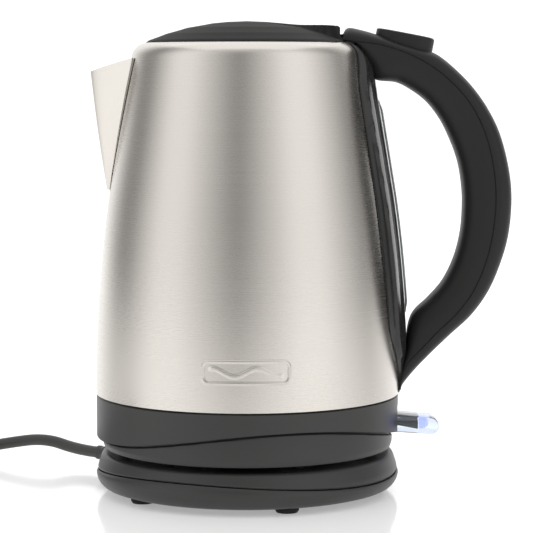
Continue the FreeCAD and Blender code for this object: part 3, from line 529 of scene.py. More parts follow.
# %% Relief badge
def relief_badge():
    half_width, low, high = 22.4, 65.2, 78.0
    columns, rows = 150, 46
    outer, inner = [], []
    middle = (low + high) / 2
    for r in range(rows + 1):
        height = low + (high - low) * r / rows
        outer.append([])
        inner.append([])
        for c in range(columns + 1):
            across = -half_width + 2 * half_width * c / columns
            edge_x = half_width - abs(across)
            edge_z = (high - low) / 2 - abs(height - middle)
            corner = min(edge_x, edge_z)
            if edge_x < 4 and edge_z < 4:
                corner = 4 - math.hypot(4 - edge_x, 4 - edge_z)
            frame_line = smooth_step(0.0, 0.9, corner) - 0.75 * smooth_step(1.3, 1.9, corner)
            wave = middle + 2.0 * math.sin(across / half_width * math.pi * 2.0)
            ripple = 0.8 * (1 - smooth_step(0.7, 1.3, abs(height - wave)))
            inside = smooth_step(2.4, 3.4, corner) * (1 - smooth_step(17.0, 18.5, abs(across)))
            lift = 0.55 * max(frame_line, 0.25 * smooth_step(0, 1, corner) + ripple * inside)
            angle = -math.pi / 2 + across / jug_radius(height)
            outer[-1].append(turn(jug_radius(height) + 0.03 + lift, angle, height))
            inner[-1].append(turn(jug_radius(height) - 0.3, angle, height))
    badge = skin("relief_badge", outer, inner, False)
    return settle(badge, STEEL, "kettle", crease=60)


relief_badge()


# %% [markdown]
# ## Spout
# Two flat cheeks meet in a rounded keel and flare to a lip, and a narrow flange is welded to the
# jug. Each row of the grid runs from one flange over the keel to the other.

# %% Spout
LIP, TOE = Vector((-80.6, 0, 217.3)), Vector((-72.4, 0, 156.4))


def spout():
    rows, columns = 44, 61
    outer, inner = [], []
    for r in range(rows + 1):
        down = r / rows
        keel = LIP.lerp(TOE, down)
        keel.x -= 0.5 * math.sin(math.pi * down)
        half = 16.5 * (1 - down) ** 0.92 + 0.25
        root_height = 224.2 * (1 - down) + TOE.z * down
        line_out, line_in = [], []
        for c in range(columns):
            side = -1 + 2 * c / (columns - 1)
            part = abs(side)
            reach = min(part / 0.86, 1.0)
            across = half * (reach if reach < 1 else 1 + (part - 0.86) / 0.14 * 2.4 / max(half, 4))
            bow = min((2.2 / max(half, 2.5)) ** 2, 0.3)
            rounded = math.sqrt(reach * reach + bow) / math.sqrt(1 + bow)
            height = keel.z + (root_height - keel.z) * rounded
            radius = jug_radius(min(height, 228))
            y = across * (1 if side > 0 else -1)
            root_x = -math.sqrt(max(radius ** 2 - min(abs(y), radius) ** 2, 1))
            start = math.sqrt(bow / (1 + bow))
            rounded = (rounded - start) / (1 - start)
            height = keel.z + (root_height - keel.z) * rounded
            x = keel.x + (root_x - 0.35 - keel.x) * rounded
            if reach >= 1:
                x = root_x - 0.45
            line_out.append((x - 0.1, y, height))
            line_in.append((x + 0.9 if reach < 1 else root_x - 0.02, y * 0.985, height))
        outer.append(line_out)
        inner.append(line_in)
    made = skin("pouring_spout", outer, inner, False)
    return settle(made, SPOUT_STEEL, "kettle", ["spout"], crease=60)


spout()


# %% Painted shadow strips beside the spout's flange
def spout_painted_shadow():
    """A narrow dark strip on each side, painted shadow where the flange stands a hair off the jug."""
    for side in (-1, 1):
        outer, inner = [], []
        for r in range(61):
            down = r / 60
            height = 223.6 + (153.6 - 223.6) * down
            radius = jug_radius(height)
            half = 16.5 * max(1 - down, 0) ** 0.92 + 2.1 - 1.6 * smooth_step(0.9, 1.0, down)
            rows = [[], []]
            for c in range(3):
                y = side * (half + 0.35 * c)
                x = -math.sqrt(radius ** 2 - y ** 2)
                rows[0].append((x - 0.14, y, height))
                rows[1].append((x + 0.2, y, height))
            outer.append(rows[0])
            inner.append(rows[1])
        strip = skin(f"spout_gap_{'left' if side < 0 else 'right'}", outer, inner, False)
        # Each strip is painted shadow: a dark sheet on the steel where only the shade of the flange's
        # gap falls.
        settle(strip, BLACK_PLASTIC_AND_SHADE, "kettle", crease=60)


spout_painted_shadow()

# %% [markdown]
# ## Skirt and power base
# The plastic skirt is one main piece whose shape follows a rule: a proud layer overlaps a lower
# one along a wavy line that rises and falls twice round the kettle. Geometry Nodes fit this well,
# because the wave has just four numbers. The tree bends a flat grid into a tube, then moves each
# point out by a smooth step across the wave.


# %% Geometry Nodes helpers
def tree_with(name, numbers):
    """A geometry tree with named number inputs; returns the board and one wire per input."""
    tree = bpy.data.node_groups.new(name, "GeometryNodeTree")
    tree.interface.new_socket("Geometry", in_out="OUTPUT", socket_type="NodeSocketGeometry")
    sockets = {}
    for label, value in numbers.items():
        kind = "NodeSocketInt" if isinstance(value, int) else "NodeSocketFloat"
        sockets[label] = tree.interface.new_socket(label, in_out="INPUT", socket_type=kind)
    board = Board(tree)
    entry = tree.nodes.new("NodeGroupInput")
    wires = {label: Wire(board, entry.outputs[label]) for label in numbers}
    return tree, board, wires, sockets


def grow(name, tree, board, sockets, numbers, geometry, material):
    """Ends the tree, evaluates it and returns the baked plain mesh."""
    real = board.add("GeometryNodeRealizeInstances", None, {0: geometry})
    painted = board.add("GeometryNodeSetMaterial", None, {"Geometry": real})
    painted.socket.node.inputs["Material"].default_value = material
    leave = tree.nodes.new("NodeGroupOutput")
    tree.links.new(painted.socket, leave.inputs[0])
    piece = bpy.data.objects.new(name, bpy.data.meshes.new(name))
    bpy.context.scene.collection.objects.link(piece)
    modifier = piece.modifiers.new("nodes", "NODES")
    modifier.node_group = tree
    for label, value in numbers.items():
        modifier[sockets[label].identifier] = value
    graph = bpy.context.evaluated_depsgraph_get()
    graph.update()
    piece.data = bpy.data.meshes.new_from_object(piece.evaluated_get(graph))
    piece.data.name = name
    piece.modifiers.clear()
    print(f"{name}: {len(piece.data.polygons)} faces")
    return piece


# %% Wavy skirt
def wavy_skirt():
    numbers = {"Proud radius": 78.4 * MM, "Inset radius": 75.3 * MM, "Bottom": 24.1 * MM,
               "Top": 51.4 * MM, "Wave middle": 35.4 * MM, "Wave swing": 6.0 * MM,
               "Wave crest": 288.0, "Step height": 0.6 * MM, "Groove depth": 1.3 * MM}
    tree, board, wires, sockets = tree_with("wavy skirt", numbers)
    grid = board.add("GeometryNodeMeshGrid", None,
                     {"Size X": 2 * math.pi, "Size Y": 1.0, "Vertices X": 289, "Vertices Y": 81})
    place = board.add("ShaderNodeSeparateXYZ", None, {0: board.add("GeometryNodeInputPosition")})
    angle = place.out("X")
    phase = (angle - wires["Wave crest"] * (math.pi / 180)) * 2
    wave = wires["Wave middle"] + wires["Wave swing"] * phase.maths("COSINE", phase)
    row = place.out("Y") * 2
    above = row.maths("GREATER_THAN", row, 0.0)
    height = wave + row * (above * (wires["Top"] - wave)
                           + (1 - above) * (wave - wires["Bottom"]))
    step = board.add("ShaderNodeMapRange", {"interpolation_type": "SMOOTHSTEP"}, {
        0: height, 1: wave - wires["Step height"], 2: wave, 3: 0.0, 4: 1.0})
    groove_low = board.add("ShaderNodeMapRange", {"interpolation_type": "SMOOTHSTEP"}, {
        0: height, 1: wave - wires["Step height"] * 3.0, 2: wave - wires["Step height"] * 1.6,
        3: 0.0, 4: wires["Groove depth"]})
    top_edge = board.add("ShaderNodeMapRange", {"interpolation_type": "SMOOTHSTEP"}, {
        0: height, 1: wires["Top"] - 0.0007, 2: wires["Top"] - 0.0003, 3: 0.0, 4: 0.0012})
    low_edge = board.add("ShaderNodeMapRange", {"interpolation_type": "SMOOTHSTEP"}, {
        0: height, 1: wires["Bottom"] - 0.001, 2: wires["Bottom"] + 0.003, 3: 0.0010, 4: 0.0})
    radius = (wires["Inset radius"] - groove_low * (1 - step)
              + (wires["Proud radius"] - wires["Inset radius"]) * step - low_edge - top_edge)
    bent = board.add("ShaderNodeCombineXYZ", None, {
        "X": radius * angle.maths("COSINE", angle), "Y": radius * angle.maths("SINE", angle),
        "Z": height})
    tube = board.add("GeometryNodeSetPosition", None, {"Geometry": grid, "Position": bent})
    piece = grow("wavy_skirt", tree, board, sockets, numbers, tube, GREY_PLASTIC)
    work = bmesh.new()
    work.from_mesh(piece.data)
    bmesh.ops.remove_doubles(work, verts=work.verts, dist=1e-6)
    gone = [face for face in work.faces
            if face.calc_center_median().x > 0.06 and abs(face.calc_center_median().y) < 0.0096
            and 0.029 < face.calc_center_median().z < 0.0452]
    bmesh.ops.delete(work, geom=gone, context="FACES")
    bmesh.ops.recalc_face_normals(work, faces=work.faces)
    if sum((face.normal.dot(Vector((*face.calc_center_median().xy, 0))) for face in work.faces)) < 0:
        bmesh.ops.reverse_faces(work, faces=work.faces)
    work.to_mesh(piece.data)
    work.free()
    wall = piece.modifiers.new("wall", "SOLIDIFY")
    wall.thickness, wall.offset = 2.2 * MM, -1.0
    return settle(piece, GREY_PLASTIC, "kettle", ["base_skirt"])


wavy_skirt()


# %% [markdown]
# The power base has two shells that meet on a similar wave. Their outline is a rounded belt, so
# each row of the grid is placed by the share of its height between the wave and the edge.

# %% Power base shells
def base_wave(angle):
    return 12.7 + 2.6 * math.cos(2 * (angle - math.radians(243)))


def belt_radius(height):
    stations = [(3.0, 72.6), (3.3, 74.0), (4.0, 75.4), (5.4, 76.9), (7.4, 78.0), (9.6, 78.6),
                (11.7, 78.6), (14.5, 78.0), (18.1, 76.7), (19.8, 75.8), (20.6, 75.0), (20.9, 74.2)]
    for (z0, r0), (z1, r1) in zip(stations, stations[1:]):
        if height <= z1:
            part = (height - z0) / (z1 - z0)
            return r0 + (r1 - r0) * part
    return stations[-1][1]


def power_base():
    columns = 216
    angles = [2 * math.pi * c / columns for c in range(columns)]
    upper, lower = [], []
    for r in range(15):
        part = r / 14
        lower.append([])
        upper.append([])
        for angle in angles:
            split = base_wave(angle)
            low = 3.0 + (split - 3.0) * part
            tuck = 0.7 * smooth_step(0.9, 1.0, part)
            lower[-1].append(turn(belt_radius(low) - tuck, angle, low))
            high = split + 0.35 + (20.9 - split - 0.35) * part
            tuck = 0.75 * (1 - smooth_step(0.0, 0.12, part)) + 0.45
            upper[-1].append(turn(min(belt_radius(high), 78.3) - tuck * (1 - part ** 3), angle, high))
    for radius in (73.0, 40.0, 24.0, 19.0, 18.2, 16.9):
        dip = 1.2 if radius < 20 else (0.0 if radius > 30 else 0.2)
        upper.append([turn(radius, angle, 20.9 - dip) for angle in angles])
    rim = [[turn(radius, angle, height) for angle in angles]
           for radius, height in ((16.9, 18.4), (72.0, 18.4), (75.0, 15.5))]
    inner_edge = [turn(76.3, angle, base_wave(angle) + 0.4) for angle in angles]
    grid = [inner_edge] + upper + rim + [inner_edge]
    points = [point for row in grid for point in row]
    shell = new_piece("base_upper", points, quads(len(grid), columns, True))
    settle(shell, GREY_PLASTIC, "power_base", ["base_upper_shell"])

    floor_rows = [[turn(radius, angle, 3.0) for angle in angles]
                  for radius in (70.0, 50.0, 20.0, 0.001)]
    inside = [[turn(0.001, angle, 4.3) for angle in angles],
              [turn(73.0, angle, 4.3) for angle in angles],
              [turn(76.0, angle, base_wave(angle) - 0.2) for angle in angles]]
    grid = floor_rows[::-1] + lower + inside[::-1]
    points = [point for row in grid for point in row]
    shell = new_piece("base_lower", points, quads(len(grid), columns, True))
    settle(shell, GREY_PLASTIC, "power_base", ["base_lower_shell"])


power_base()

# %% [markdown]
# ### Feet
# Feet repeat round a circle, so one Geometry Nodes tree serves both rings: a point circle carries
# a small turned foot. Its inputs are the count, the circle, the foot's radius and its height.


# %% Rings of feet
def ring_of_feet(name, body, node, numbers, lift, first_angle):
    tree, board, wires, sockets = tree_with(name, numbers)
    circle = board.add("GeometryNodeMeshCircle", None,
                       {"Vertices": wires["Count"], "Radius": wires["Circle"]})
    foot = board.add("GeometryNodeMeshCylinder", {"fill_type": "NGON"}, {
        "Vertices": 32, "Side Segments": 3, "Fill Segments": 2,
        "Radius": wires["Radius"], "Depth": wires["Height"]})
    place = board.add("ShaderNodeSeparateXYZ", None, {0: board.add("GeometryNodeInputPosition")})
    low = place.out("Z").maths("LESS_THAN", place.out("Z"), wires["Height"] * -0.45)
    waist = 1.0 - low * 0.12
    shaped = board.add("ShaderNodeCombineXYZ", None, {
        "X": place.out("X") * waist, "Y": place.out("Y") * waist, "Z": place.out("Z")})
    foot = board.add("GeometryNodeSetPosition", None, {"Geometry": foot, "Position": shaped})
    spread = board.add("GeometryNodeInstanceOnPoints", None, {"Points": circle, "Instance": foot})
    placed = board.add("GeometryNodeTransform", None, {
        "Geometry": spread, "Translation": (0, 0, lift * MM),
        "Rotation": (0, 0, math.radians(first_angle))})
    piece = grow(name, tree, board, sockets, numbers, placed, RUBBER)
    return settle(piece, RUBBER, body, [node])


ring_of_feet("rubber_feet", "power_base", "base_feet",
             {"Count": 5, "Circle": 65.0 * MM, "Radius": 6.0 * MM, "Height": 3.4 * MM}, 1.7, 216)
ring_of_feet("underside_nubs", "kettle", "kettle_feet",
             {"Count": 6, "Circle": 64.3 * MM, "Radius": 3.0 * MM, "Height": 3.2 * MM}, 22.8, 233.5)


# %% [markdown]
# ## Spine, window and handle
# A grey spine covers the back of the jug and frames the water window. It is a grid that hugs the
# jug, with soft ridges beside the window, and it narrows to a point near the skirt.

# %% Spine
def spine_half_angle(height):
    wide = 22.0 + 2.5 * smooth_step(60, 140, height)
    narrow = smooth_step(50.5, 92.0, height)
    return math.radians(5.0 + (wide - 5.0) * narrow - 5.0 * smooth_step(205, 231, height))


def spine():
    heights = [51.0 + (224.5 - 51.0) * r / 90 for r in range(91)]
    rows = [(jug_radius(z), z) for z in heights]
    rows += [(radius, height) for radius, height in jug_line() if 224.7 < height < 231.6]
    rows += [(53.4, 231.9)]
    columns = 73
    outer, inner = [], []
    for radius, height in rows:
        half = spine_half_angle(min(height, 231))
        up = smooth_step(222, 231, height)
        outer.append([])
        inner.append([])
        for c in range(columns):
            side = -1 + 2 * c / (columns - 1)
            angle = half * side
            across = abs(radius * math.sin(angle))
            edge = smooth_step(1.0, 0.88, abs(side))
            lift = 1.0 + 0.9 * smooth_step(29.0, 25.0, across) + 1.7 * smooth_step(24.2, 23.2, across)
            lift += 1.0 * smooth_step(10.6, 9.8, across) - 0.9 * smooth_step(16.6, 15.8, across) \
                + 0.8 * smooth_step(13.4, 11.0, across)
            recess = smooth_step(7.4, 7.0, across) * smooth_step(90.0, 92.0, height) \
                * smooth_step(205.5, 203.5, height)
            lift = max(lift * (0.25 + 0.75 * edge) - 1.2 * recess, 0.4)
            lift = 0.35 + (min(lift, 4.7) - 0.35) * smooth_step(50.5, 78.0, height)
            outer[-1].append(turn(radius + lift * (1 - 0.75 * up), angle, height + 0.4 * up))
            inner[-1].append(turn(radius + 0.15, angle, height))
    made = skin("window_spine", outer, inner, False)
    return settle(made, SPINE_PLASTIC, "kettle", ["handle_spine"], crease=35)


spine()


# %% Water window
def water_window():
    rows, columns = 60, 17
    outer, inner = [], []
    for r in range(rows + 1):
        height = 93.4 + (202.6 - 93.4) * r / rows
        radius = jug_radius(height)
        outer.append([])
        inner.append([])
        for c in range(columns):
            side = -1 + 2 * c / (columns - 1)
            crown = 1.0 - 0.5 * abs(side) ** 4
            ends = smooth_step(0, 0.05, min(r, rows - r) / rows)
            y = 5.4 * side
            out = radius + 4.2 + 1.8 * crown * (0.4 + 0.6 * ends)
            outer[-1].append((math.sqrt(out ** 2 - y ** 2), y, height))
            inner[-1].append((math.sqrt((radius + 2.8) ** 2 - y ** 2), y, height))
    made = skin("level_window", outer, inner, False)
    return settle(made, CLEAR_WINDOW, "kettle", ["water_window"], crease=50)


water_window()

# %% [markdown]
# ### Loop handle
# The handle is two mouldings that meet on a seam. We list a few stations along it, each with a
# point on the back line, the seam and the front line, and run smooth lines through them. The
# cross-section is a flattened half-oval on each side of the seam, and a hair's gap is left there.

# %% Handle shells
HANDLE_STATIONS = [
    ((50.7, 239.0), (48.1, 233.2), (49.2, 232.5)), ((53.4, 239.6), (53.8, 232.6), (54.6, 232.2)),
    ((62.0, 237.6), (61.0, 231.9), (57.5, 226.5)), ((70.0, 235.0), (69.0, 230.6), (61.8, 219.6)),
    ((78.6, 231.9), (77.5, 228.0), (66.0, 213.2)), ((88.0, 229.3), (85.5, 224.8), (76.7, 211.7)),
    ((97.5, 226.0), (93.0, 220.6), (84.8, 207.6)), ((107.5, 218.1), (101.0, 214.8), (92.3, 201.8)),
    ((116.4, 208.8), (109.7, 206.2), (98.9, 193.4)), ((124.0, 198.0), (116.6, 196.4), (104.0, 183.5)),
    ((130.3, 185.0), (122.2, 183.8), (108.4, 171.8)), ((134.8, 168.0), (125.9, 168.4), (110.6, 160.0)),
    ((136.5, 152.0), (127.2, 152.2), (111.2, 148.5)), ((135.2, 134.5), (126.0, 136.4), (110.2, 134.5)),
    ((131.5, 120.0), (122.8, 121.4), (107.0, 121.5)), ((125.2, 104.8), (116.8, 106.4), (101.3, 109.5)),
    ((116.3, 92.0), (108.3, 94.2), (94.0, 100.8)), ((104.9, 81.3), (97.7, 83.8), (86.6, 93.6)),
    ((95.1, 71.8), (89.5, 75.0), (83.6, 86.5)), ((86.8, 63.0), (83.6, 68.6), (82.4, 76.0)),
    ((81.0, 55.8), (80.2, 61.5), (80.4, 66.0)), ((78.8, 51.6), (78.6, 53.4), (79.0, 57.0))]


def handle_width(part):
    return 14.0 - 3.6 * smooth_step(0.80, 1.0, part)


def handle_shells():
    count = 150
    lines = [spline([(station[k][0], 0, station[k][1]) for station in HANDLE_STATIONS], count)
             for k in range(3)]
    for name, node, other, power, material, sign in (
            ("handle_cover", "handle_outer", 0, 2.6, DARK_PLASTIC, 1),
            ("handle_grip", "handle_inner", 2, 3.2, DARK_PLASTIC, -1)):
        rings = []
        for step in range(count):
            seam, edge = lines[1][step], lines[other][step]
            half = handle_width(step / (count - 1)) - 0.05
            reach = edge - seam
            gap = reach.normalized() * 0.35
            ring = []
            for k in range(41):
                angle = math.pi * k / 40
                y = math.copysign(abs(math.cos(angle)) ** (2 / power), math.cos(angle))
                out = abs(math.sin(angle)) ** (2 / power)
                point = seam + gap + (reach - gap) * out
                ring.append((point.x, half * y, point.z))
            low = seam + gap
            ring += [(low.x, half * (-0.85 + 1.7 * k / 8), low.z) for k in range(9)]
            rings.append(ring)
        shell = loft(name, rings)
        settle(shell, material, "kettle", [node], crease=50)


handle_shells()


# %% Seam core, so that nothing shows through the gap between the mouldings
def seam_core():
    seam = spline([(station[1][0], 0, station[1][1]) for station in HANDLE_STATIONS], 120)
    rings = []
    for step, point in enumerate(seam):
        half = handle_width(step / 119) - 0.75
        before, after = seam[max(step - 1, 0)], seam[min(step + 1, 119)]
        along = (after - before).normalized()
        out = Vector((along.z, 0, -along.x))
        rings.append([(point + out * a + Vector((0, half * b, 0)))
                      for a, b in ((-0.8, -1), (0.8, -1), (0.8, 1), (-0.8, 1))])
    core = loft("handle_seam", rings)
    settle(core, BLACK_PLASTIC_AND_SHADE, "kettle")


seam_core()

# %% [markdown]
# ## Lid
# The lid is a shallow dome with a raised bar that carries the handle's line on to its middle. A
# polar grid with a height rule makes both at once: the bar's height is blended over the dome, and
# near the hinge the grid is pulled back to a hollow that clears the handle's nose.


# %% Lid cover
def dome_height(radius):
    stations = [(0.0, 243.1), (10.9, 242.6), (18.0, 241.9), (30.9, 239.6), (41.7, 236.5),
                (50.0, 233.4), (52.3, 232.3)]
    for (r0, z0), (r1, z1) in zip(stations, stations[1:]):
        if radius <= r1:
            part = (radius - r0) / (r1 - r0)
            return z0 + (z1 - z0) * (part + 0.12 * part * (1 - part) * (r1 / 52.3))
    return stations[-1][1]


def lid_cover():
    columns, rows = 180, 66
    outer, inner = [], []
    for r in range(rows + 1):
        share = r / rows
        outer.append([])
        inner.append([])
        for c in range(columns):
            angle = 2 * math.pi * c / columns
            limit = 52.2
            if math.cos(angle) > 0 and abs(limit * math.sin(angle)) < 14.6:
                limit = min(limit, 47.4 / math.cos(angle))
            radius = max(limit * share, 0.02)
            x, y = radius * math.cos(angle), radius * math.sin(angle)
            dome = dome_height(radius)
            bar = 240.9 - 0.45 * smooth_step(38, 48, x) + 1.4 * smooth_step(30, 8, x)
            inside = smooth_step(14.2, 12.6, abs(y)) * smooth_step(2.0, 12.0, x)
            lift = max(bar - dome, 0.0) * inside
            edge = smooth_step(0.975, 1.0, share)
            top = dome + lift - (0.5 * edge if lift < 1 else 0.9 * edge)
            outer[-1].append((x, y, top))
            inner[-1].append((x, y, max(min(top - 2.0, dome - 1.9), 232.2)))
    made = skin("lid_dome", outer, inner, True)
    work = bmesh.new()
    work.from_mesh(made.data)
    bmesh.ops.holes_fill(work, edges=[edge for edge in work.edges if edge.is_boundary], sides=400)
    bmesh.ops.recalc_face_normals(work, faces=work.faces)
    work.to_mesh(made.data)
    work.free()
    return settle(made, LID_PLASTIC, "lid", ["lid_cover"], crease=48)


lid_cover()


# %% Hinge knuckle
def hinge_knuckle():
    outline = [(45.0, 232.6), (45.0, 236.0), (50.0, 236.5), (59.3, 236.5), (59.8, 235.8),
               (59.6, 232.5), (58.2, 231.2), (55.8, 231.2), (54.0, 232.6)]
    rings = [[(x, y, z) for x, z in outline] for y in (-4.9, -4.4, 4.4, 4.9)]
    knuckle = loft("hinge_knuckle", rings)
    settle(knuckle, DARK_PLASTIC, "lid", crease=35, bevel=0.35)


hinge_knuckle()

# %% [markdown]
# ## Button
# The lid button is a pill, cut square to its slope, with a soft top edge. It is a wedge: deeper
# where the handle falls away. A stack of pill outlines gives it, and a second, wider stack is the
# cutter for the well that it sinks into.


# %% Lid button
BUTTON_TOP, BUTTON_TILT = Vector((81.6, 0, 236.9)), math.radians(10.8)
BUTTON_HALF = 15.1


def pill(half_length, half_width, count=64):
    straight = half_length - half_width
    points = []
    for k in range(count):
        angle = 2 * math.pi * k / count
        side = straight if math.cos(angle) >= 0 else -straight
        points.append((side + half_width * math.cos(angle), half_width * math.sin(angle)))
    return points


def pill_stack(levels, margin=0.0, extra=0.0):
    """Rings square to the button's slope, from (depth share or height, inset) levels."""
    tilt = Matrix.Rotation(BUTTON_TILT, 3, "Y")
    rings = []
    for level, inset in levels:
        ring = []
        for x, y in pill(BUTTON_HALF + margin - inset, 10.0 + margin - inset):
            deep = 12.1 + (x - BUTTON_HALF) * math.tan(math.radians(12))
            drop = level * deep - extra if level < 0 else level
            ring.append(BUTTON_TOP + tilt @ Vector((x, y, drop)))
        rings.append(ring)
    return rings


def lid_button():
    levels = [(-1.0, 0.25), (-0.97, 0.0), (-0.5, 0.0), (-0.11, 0.0), (-0.07, 0.12), (-0.035, 0.45),
              (-0.01, 1.0), (0.0, 1.7), (0.0, 5.0), (0.0, 8.5)]
    button = loft("release_button", pill_stack(levels))
    settle(button, DARK_PLASTIC, "button", ["lid_button"], crease=60)


def cut_from(names, rings, crease=50):
    """Cuts one lofted shape out of each named piece and keeps its finish and sharp edges."""
    cutter = loft("cutter", rings)
    for name in names:
        shell = bpy.data.objects[name]
        trim = shell.modifiers.new("well", "BOOLEAN")
        trim.operation, trim.solver, trim.object = "DIFFERENCE", "EXACT", cutter
        graph = bpy.context.evaluated_depsgraph_get()
        graph.update()
        shell.data = bpy.data.meshes.new_from_object(shell.evaluated_get(graph))
        shell.modifiers.clear()
        shell.data.set_sharp_from_angle(angle=math.radians(crease))
        print(f"{name}: {len(shell.data.polygons)} faces after the cut")
    bpy.data.objects.remove(cutter)


lid_button()
SHELLS = ["handle_cover", "handle_grip", "handle_seam"]
cut_from(SHELLS, pill_stack([(-1.0, 0.0), (9.0, 0.0)], 0.45, extra=4.0))
cut_from(SHELLS, [[(x, y, z) for x, z in ((64.2, 225.0), (84.2, 225.0), (84.2, 229.2), (64.2, 229.2))]
                  for y in (-4.2, 4.2)])
cut_from(["release_button"], pill_stack([(-1.0, 0.0), (-0.33, 0.0)], -2.0, extra=1.0), crease=60)

# %% [markdown]
# ## Switch lever and lamp
# The on-off lever is clear, with a dark lamp holder inside and a small blue lamp near its tip.
# It is a loft across its width, with the outline pulled in at both sides for a soft edge.


# %% Lever
def switch_lever():
    outline = [(60.0, 31.5), (68.0, 31.2), (76.0, 30.9), (84.0, 30.5), (91.0, 30.1), (96.5, 29.8),
               (98.6, 30.8), (99.7, 33.2), (99.2, 35.8), (97.6, 37.8), (95.3, 38.7), (86.0, 39.5),
               (76.0, 40.4), (66.0, 40.6), (60.0, 40.7)]
    middle = Vector((79.0, 35.0))
    rings = []
    for y, pull in ((-9.0, 1.6), (-8.7, 0.8), (-7.9, 0.2), (-6.0, 0.0), (6.0, 0.0), (7.9, 0.2),
                    (8.7, 0.8), (9.0, 1.6)):
        ring = []
        for x, z in outline:
            inward = (middle - Vector((x, z))).normalized() * pull
            ring.append((x + inward.x, y, z + inward.y))
        rings.append(ring)
    lever = loft("clear_switch_lever", rings)
    settle(lever, CLEAR_LEVER, "lever", ["switch_lever"], crease=50)


switch_lever()


def lamp_holder():
    outline = [(66.0, 33.8), (78.0, 34.2), (88.6, 32.6), (88.6, 36.3), (78.0, 36.4), (66.0, 36.4)]
    rings = [[(x, y, z) for x, z in outline] for y in (-4.2, 4.2)]
    holder = loft("lamp_holder_wedge", rings)
    settle(holder, BLACK_PLASTIC_AND_SHADE, "lever", ["lamp_holder"], crease=30, bevel=0.3)


lamp_holder()

# %% [markdown]
# ## Supply lead
# The lead leaves the base at the back, sags, crosses the table and is put away in a small coil
# with its plug. Its route is a NURBS line: control points listed where it lies free, and a loop
# for the coil's turns.


# %% Lead, coil and plug
CORD = 6.3
ROUTE = [
    (-82.5, 60.5, 8.4), (-95.0, 70.5, 8.1), (-113.5, 77.0, 13.6), (-136.0, 81.5, 10.0),
    (-155.0, 86.0, 5.6), (-172.0, 88.4, 3.6),
]
COIL_CENTRE = (-185.0, 50.0)
TAIL = [(-221.4, 42.0, 9.2), (-222.0, 29.0, 7.2), (-225.5, 14.0, 6.0), (-228.0, 1.0, 6.0)]


def coil_points():
    points = []
    per_turn = 16
    steps = int(2.25 * per_turn)
    for step in range(steps + 1):
        turns = step / per_turn
        angle = math.pi / 2 + 2 * math.pi * turns
        inward = smooth_step(0.75, 1.25, turns)
        outward = smooth_step(1.85, 2.2, turns)
        radius = 38.3 - 6.6 * inward + 5.0 * outward
        height = 3.3 + 6.5 * smooth_step(1.65, 1.95, turns)
        points.append((COIL_CENTRE[0] + radius * math.cos(angle),
                       COIL_CENTRE[1] + radius * math.sin(angle), height))
    return points


def supply_lead():
    points = ROUTE + coil_points() + TAIL
    curve = bpy.data.curves.new("supply_lead", "CURVE")
    curve.dimensions = "3D"
    line = curve.splines.new("NURBS")
    line.points.add(len(points) - 1)
    for control, (x, y, z) in zip(line.points, points):
        control.co = (x * MM, y * MM, z * MM, 1)
    line.order_u = 3
    line.use_endpoint_u = True
    line.resolution_u = 8
    curve.bevel_depth = CORD / 2 * MM
    curve.bevel_resolution = 6
    curve.use_fill_caps = True
    curve.materials.append(SLEEVE)
    lead = bpy.data.objects.new("supply_lead", curve)
    bpy.context.scene.collection.objects.link(lead)
    length = line.calc_length()
    print(f"lead length {length:.3f} m")
    return lead, length


lead, lead_length = supply_lead()


def along_axis(start, direction, up, outline_points):
    """Places a ring of (side, lift) points at each (distance, scale pair) along a straight axis."""
    way = Vector(direction).normalized()
    lift = Vector(up) - way * Vector(up).dot(way)
    lift.normalize()
    side = way.cross(lift)
    return [[Vector(start) + way * distance + side * a + lift * b for a, b in ring]
            for distance, ring in outline_points]


def superellipse(half_a, half_b, power, centre=0.0, count=40):
    ring = []
    for k in range(count):
        c, s = math.cos(2 * math.pi * k / count), math.sin(2 * math.pi * k / count)
        ring.append((half_a * math.copysign(abs(c) ** (2 / power), c),
                     centre + half_b * math.copysign(abs(s) ** (2 / power), s)))
    return ring


def strain_relief():
    start, end = Vector((-55.7, 39.0, 9.0)), Vector((-82.5, 60.5, 8.4))
    way = end - start
    levels = []
    ribs = 6
    for step in range(61):
        part = step / 60
        radius = 4.6 - 0.75 * part
        groove = 0.45 * smooth_step(0.2, 0.8, abs(math.sin(math.pi * ribs * max(part - 0.35, 0) / 0.6)))
        if part > 0.35:
            radius -= groove if part < 0.95 else 0.0
        levels.append((way.length * part, superellipse(radius, radius, 2.0)))
    boot = loft("lead_boot", along_axis(start, way, (0, 0, 1), levels))
    return settle(boot, SLEEVE, "power_base", ["strain_relief"], crease=45)


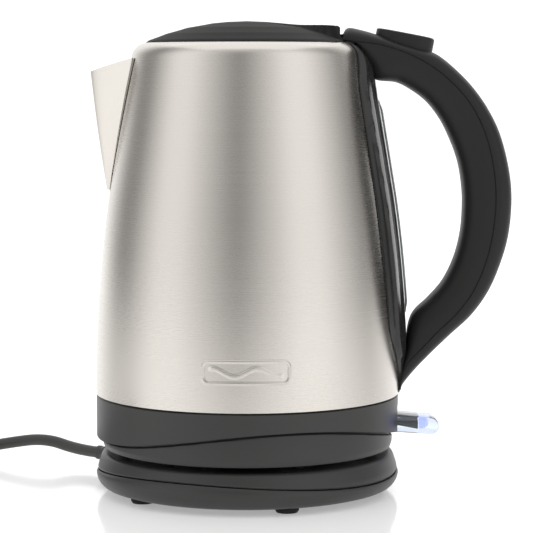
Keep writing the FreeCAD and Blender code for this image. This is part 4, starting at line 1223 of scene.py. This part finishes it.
def plug():
    start, way = Vector((-228.0, 1.0, 6.0)), Vector((-0.18885, -0.98201, 0))
    levels = [(0.0, 3.9, 3.9, 2.0, 0.0), (3.0, 4.4, 4.3, 2.0, 0.0), (9.0, 5.0, 4.9, 2.2, 0.2),
              (15.0, 6.0, 5.8, 2.4, 0.6), (17.0, 8.4, 6.8, 2.6, 1.2), (21.0, 11.0, 8.4, 3.0, 2.6),
              (26.0, 14.0, 9.5, 3.2, 3.8), (28.5, 15.6, 9.8, 3.2, 4.0), (30.0, 17.0, 9.9, 3.4, 4.0),
              (40.5, 17.4, 9.9, 3.4, 4.0), (42.0, 16.6, 9.4, 3.4, 4.0)]
    rings = [(distance, superellipse(a, b, power, centre)) for distance, a, b, power, centre in levels]
    made = loft("two_pin_plug", along_axis(start, way, (0, 0, 1), rings))
    return settle(made, RUBBER, "power_base", ["plug_body"], crease=40)


def cord_tie():
    """A soft strap pulled tight round the two turns of the coil."""
    outer, inner = [], []
    for y, swell in ((-3.0, -0.25), (-2.6, 0.0), (2.6, 0.0), (3.0, -0.25)):
        for grid, grow_by in ((outer, 0.9 + swell), (inner, 0.0)):
            ring = superellipse(6.7 + grow_by, 4.3 + grow_by, 3.2)
            grid.append([(COIL_CENTRE[0] + 35.0 + a, COIL_CENTRE[1] + y, 5.3 + b) for a, b in ring])
    tie = skin("lead_tie", outer, inner, True)
    return settle(tie, RUBBER, "power_base", ["cord_tie"], crease=40)


boot, plug_piece, tie_piece = strain_relief(), plug(), cord_tie()
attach(lead, "power_base")
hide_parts("power_cord", "cord_coil", "cord_tail")

# %% [markdown]
# ## Finishes for the parts that stay
# Sockets, springs, screws and inner parts already have the right shape in the frame, so they only
# get a finish. A small table keeps them together.

# %% Finishes for carried-over parts
KEPT = {
    BLACK_PLASTIC_AND_SHADE: ["base_socket", "connector_housing", "control_housing", "cord_clamp", "rim_collar",
                    "lid_inner", "latch_slider", "lever_bracket", "filter_frame"],
    GREY_PLASTIC: ["kettle_bottom_cover"],
    INNER_STEEL: ["heating_plate"],
    ZINC: ["base_screws", "clamp_screws", "bottom_screws", "handle_screws", "lid_screws", "hinge_pin",
           "hinge_spring", "button_spring", "latch_spring", "filter_mesh", "heating_element"],
    COPPERY: ["bimetal_disc"],
    PLATED: ["socket_contacts", "connector_pin", "contact_rings", "plug_pins", "plug_earth_contacts"],
    RUBBER: ["lid_seal", "window_seal", "steam_tube"],
    SLEEVE: ["inner_cord", "base_leads"],
    LAMP: ["indicator_lamp"],
}
for material, names in KEPT.items():
    for name in names:
        nodes[name].data.materials.clear()
        nodes[name].data.materials.append(material)
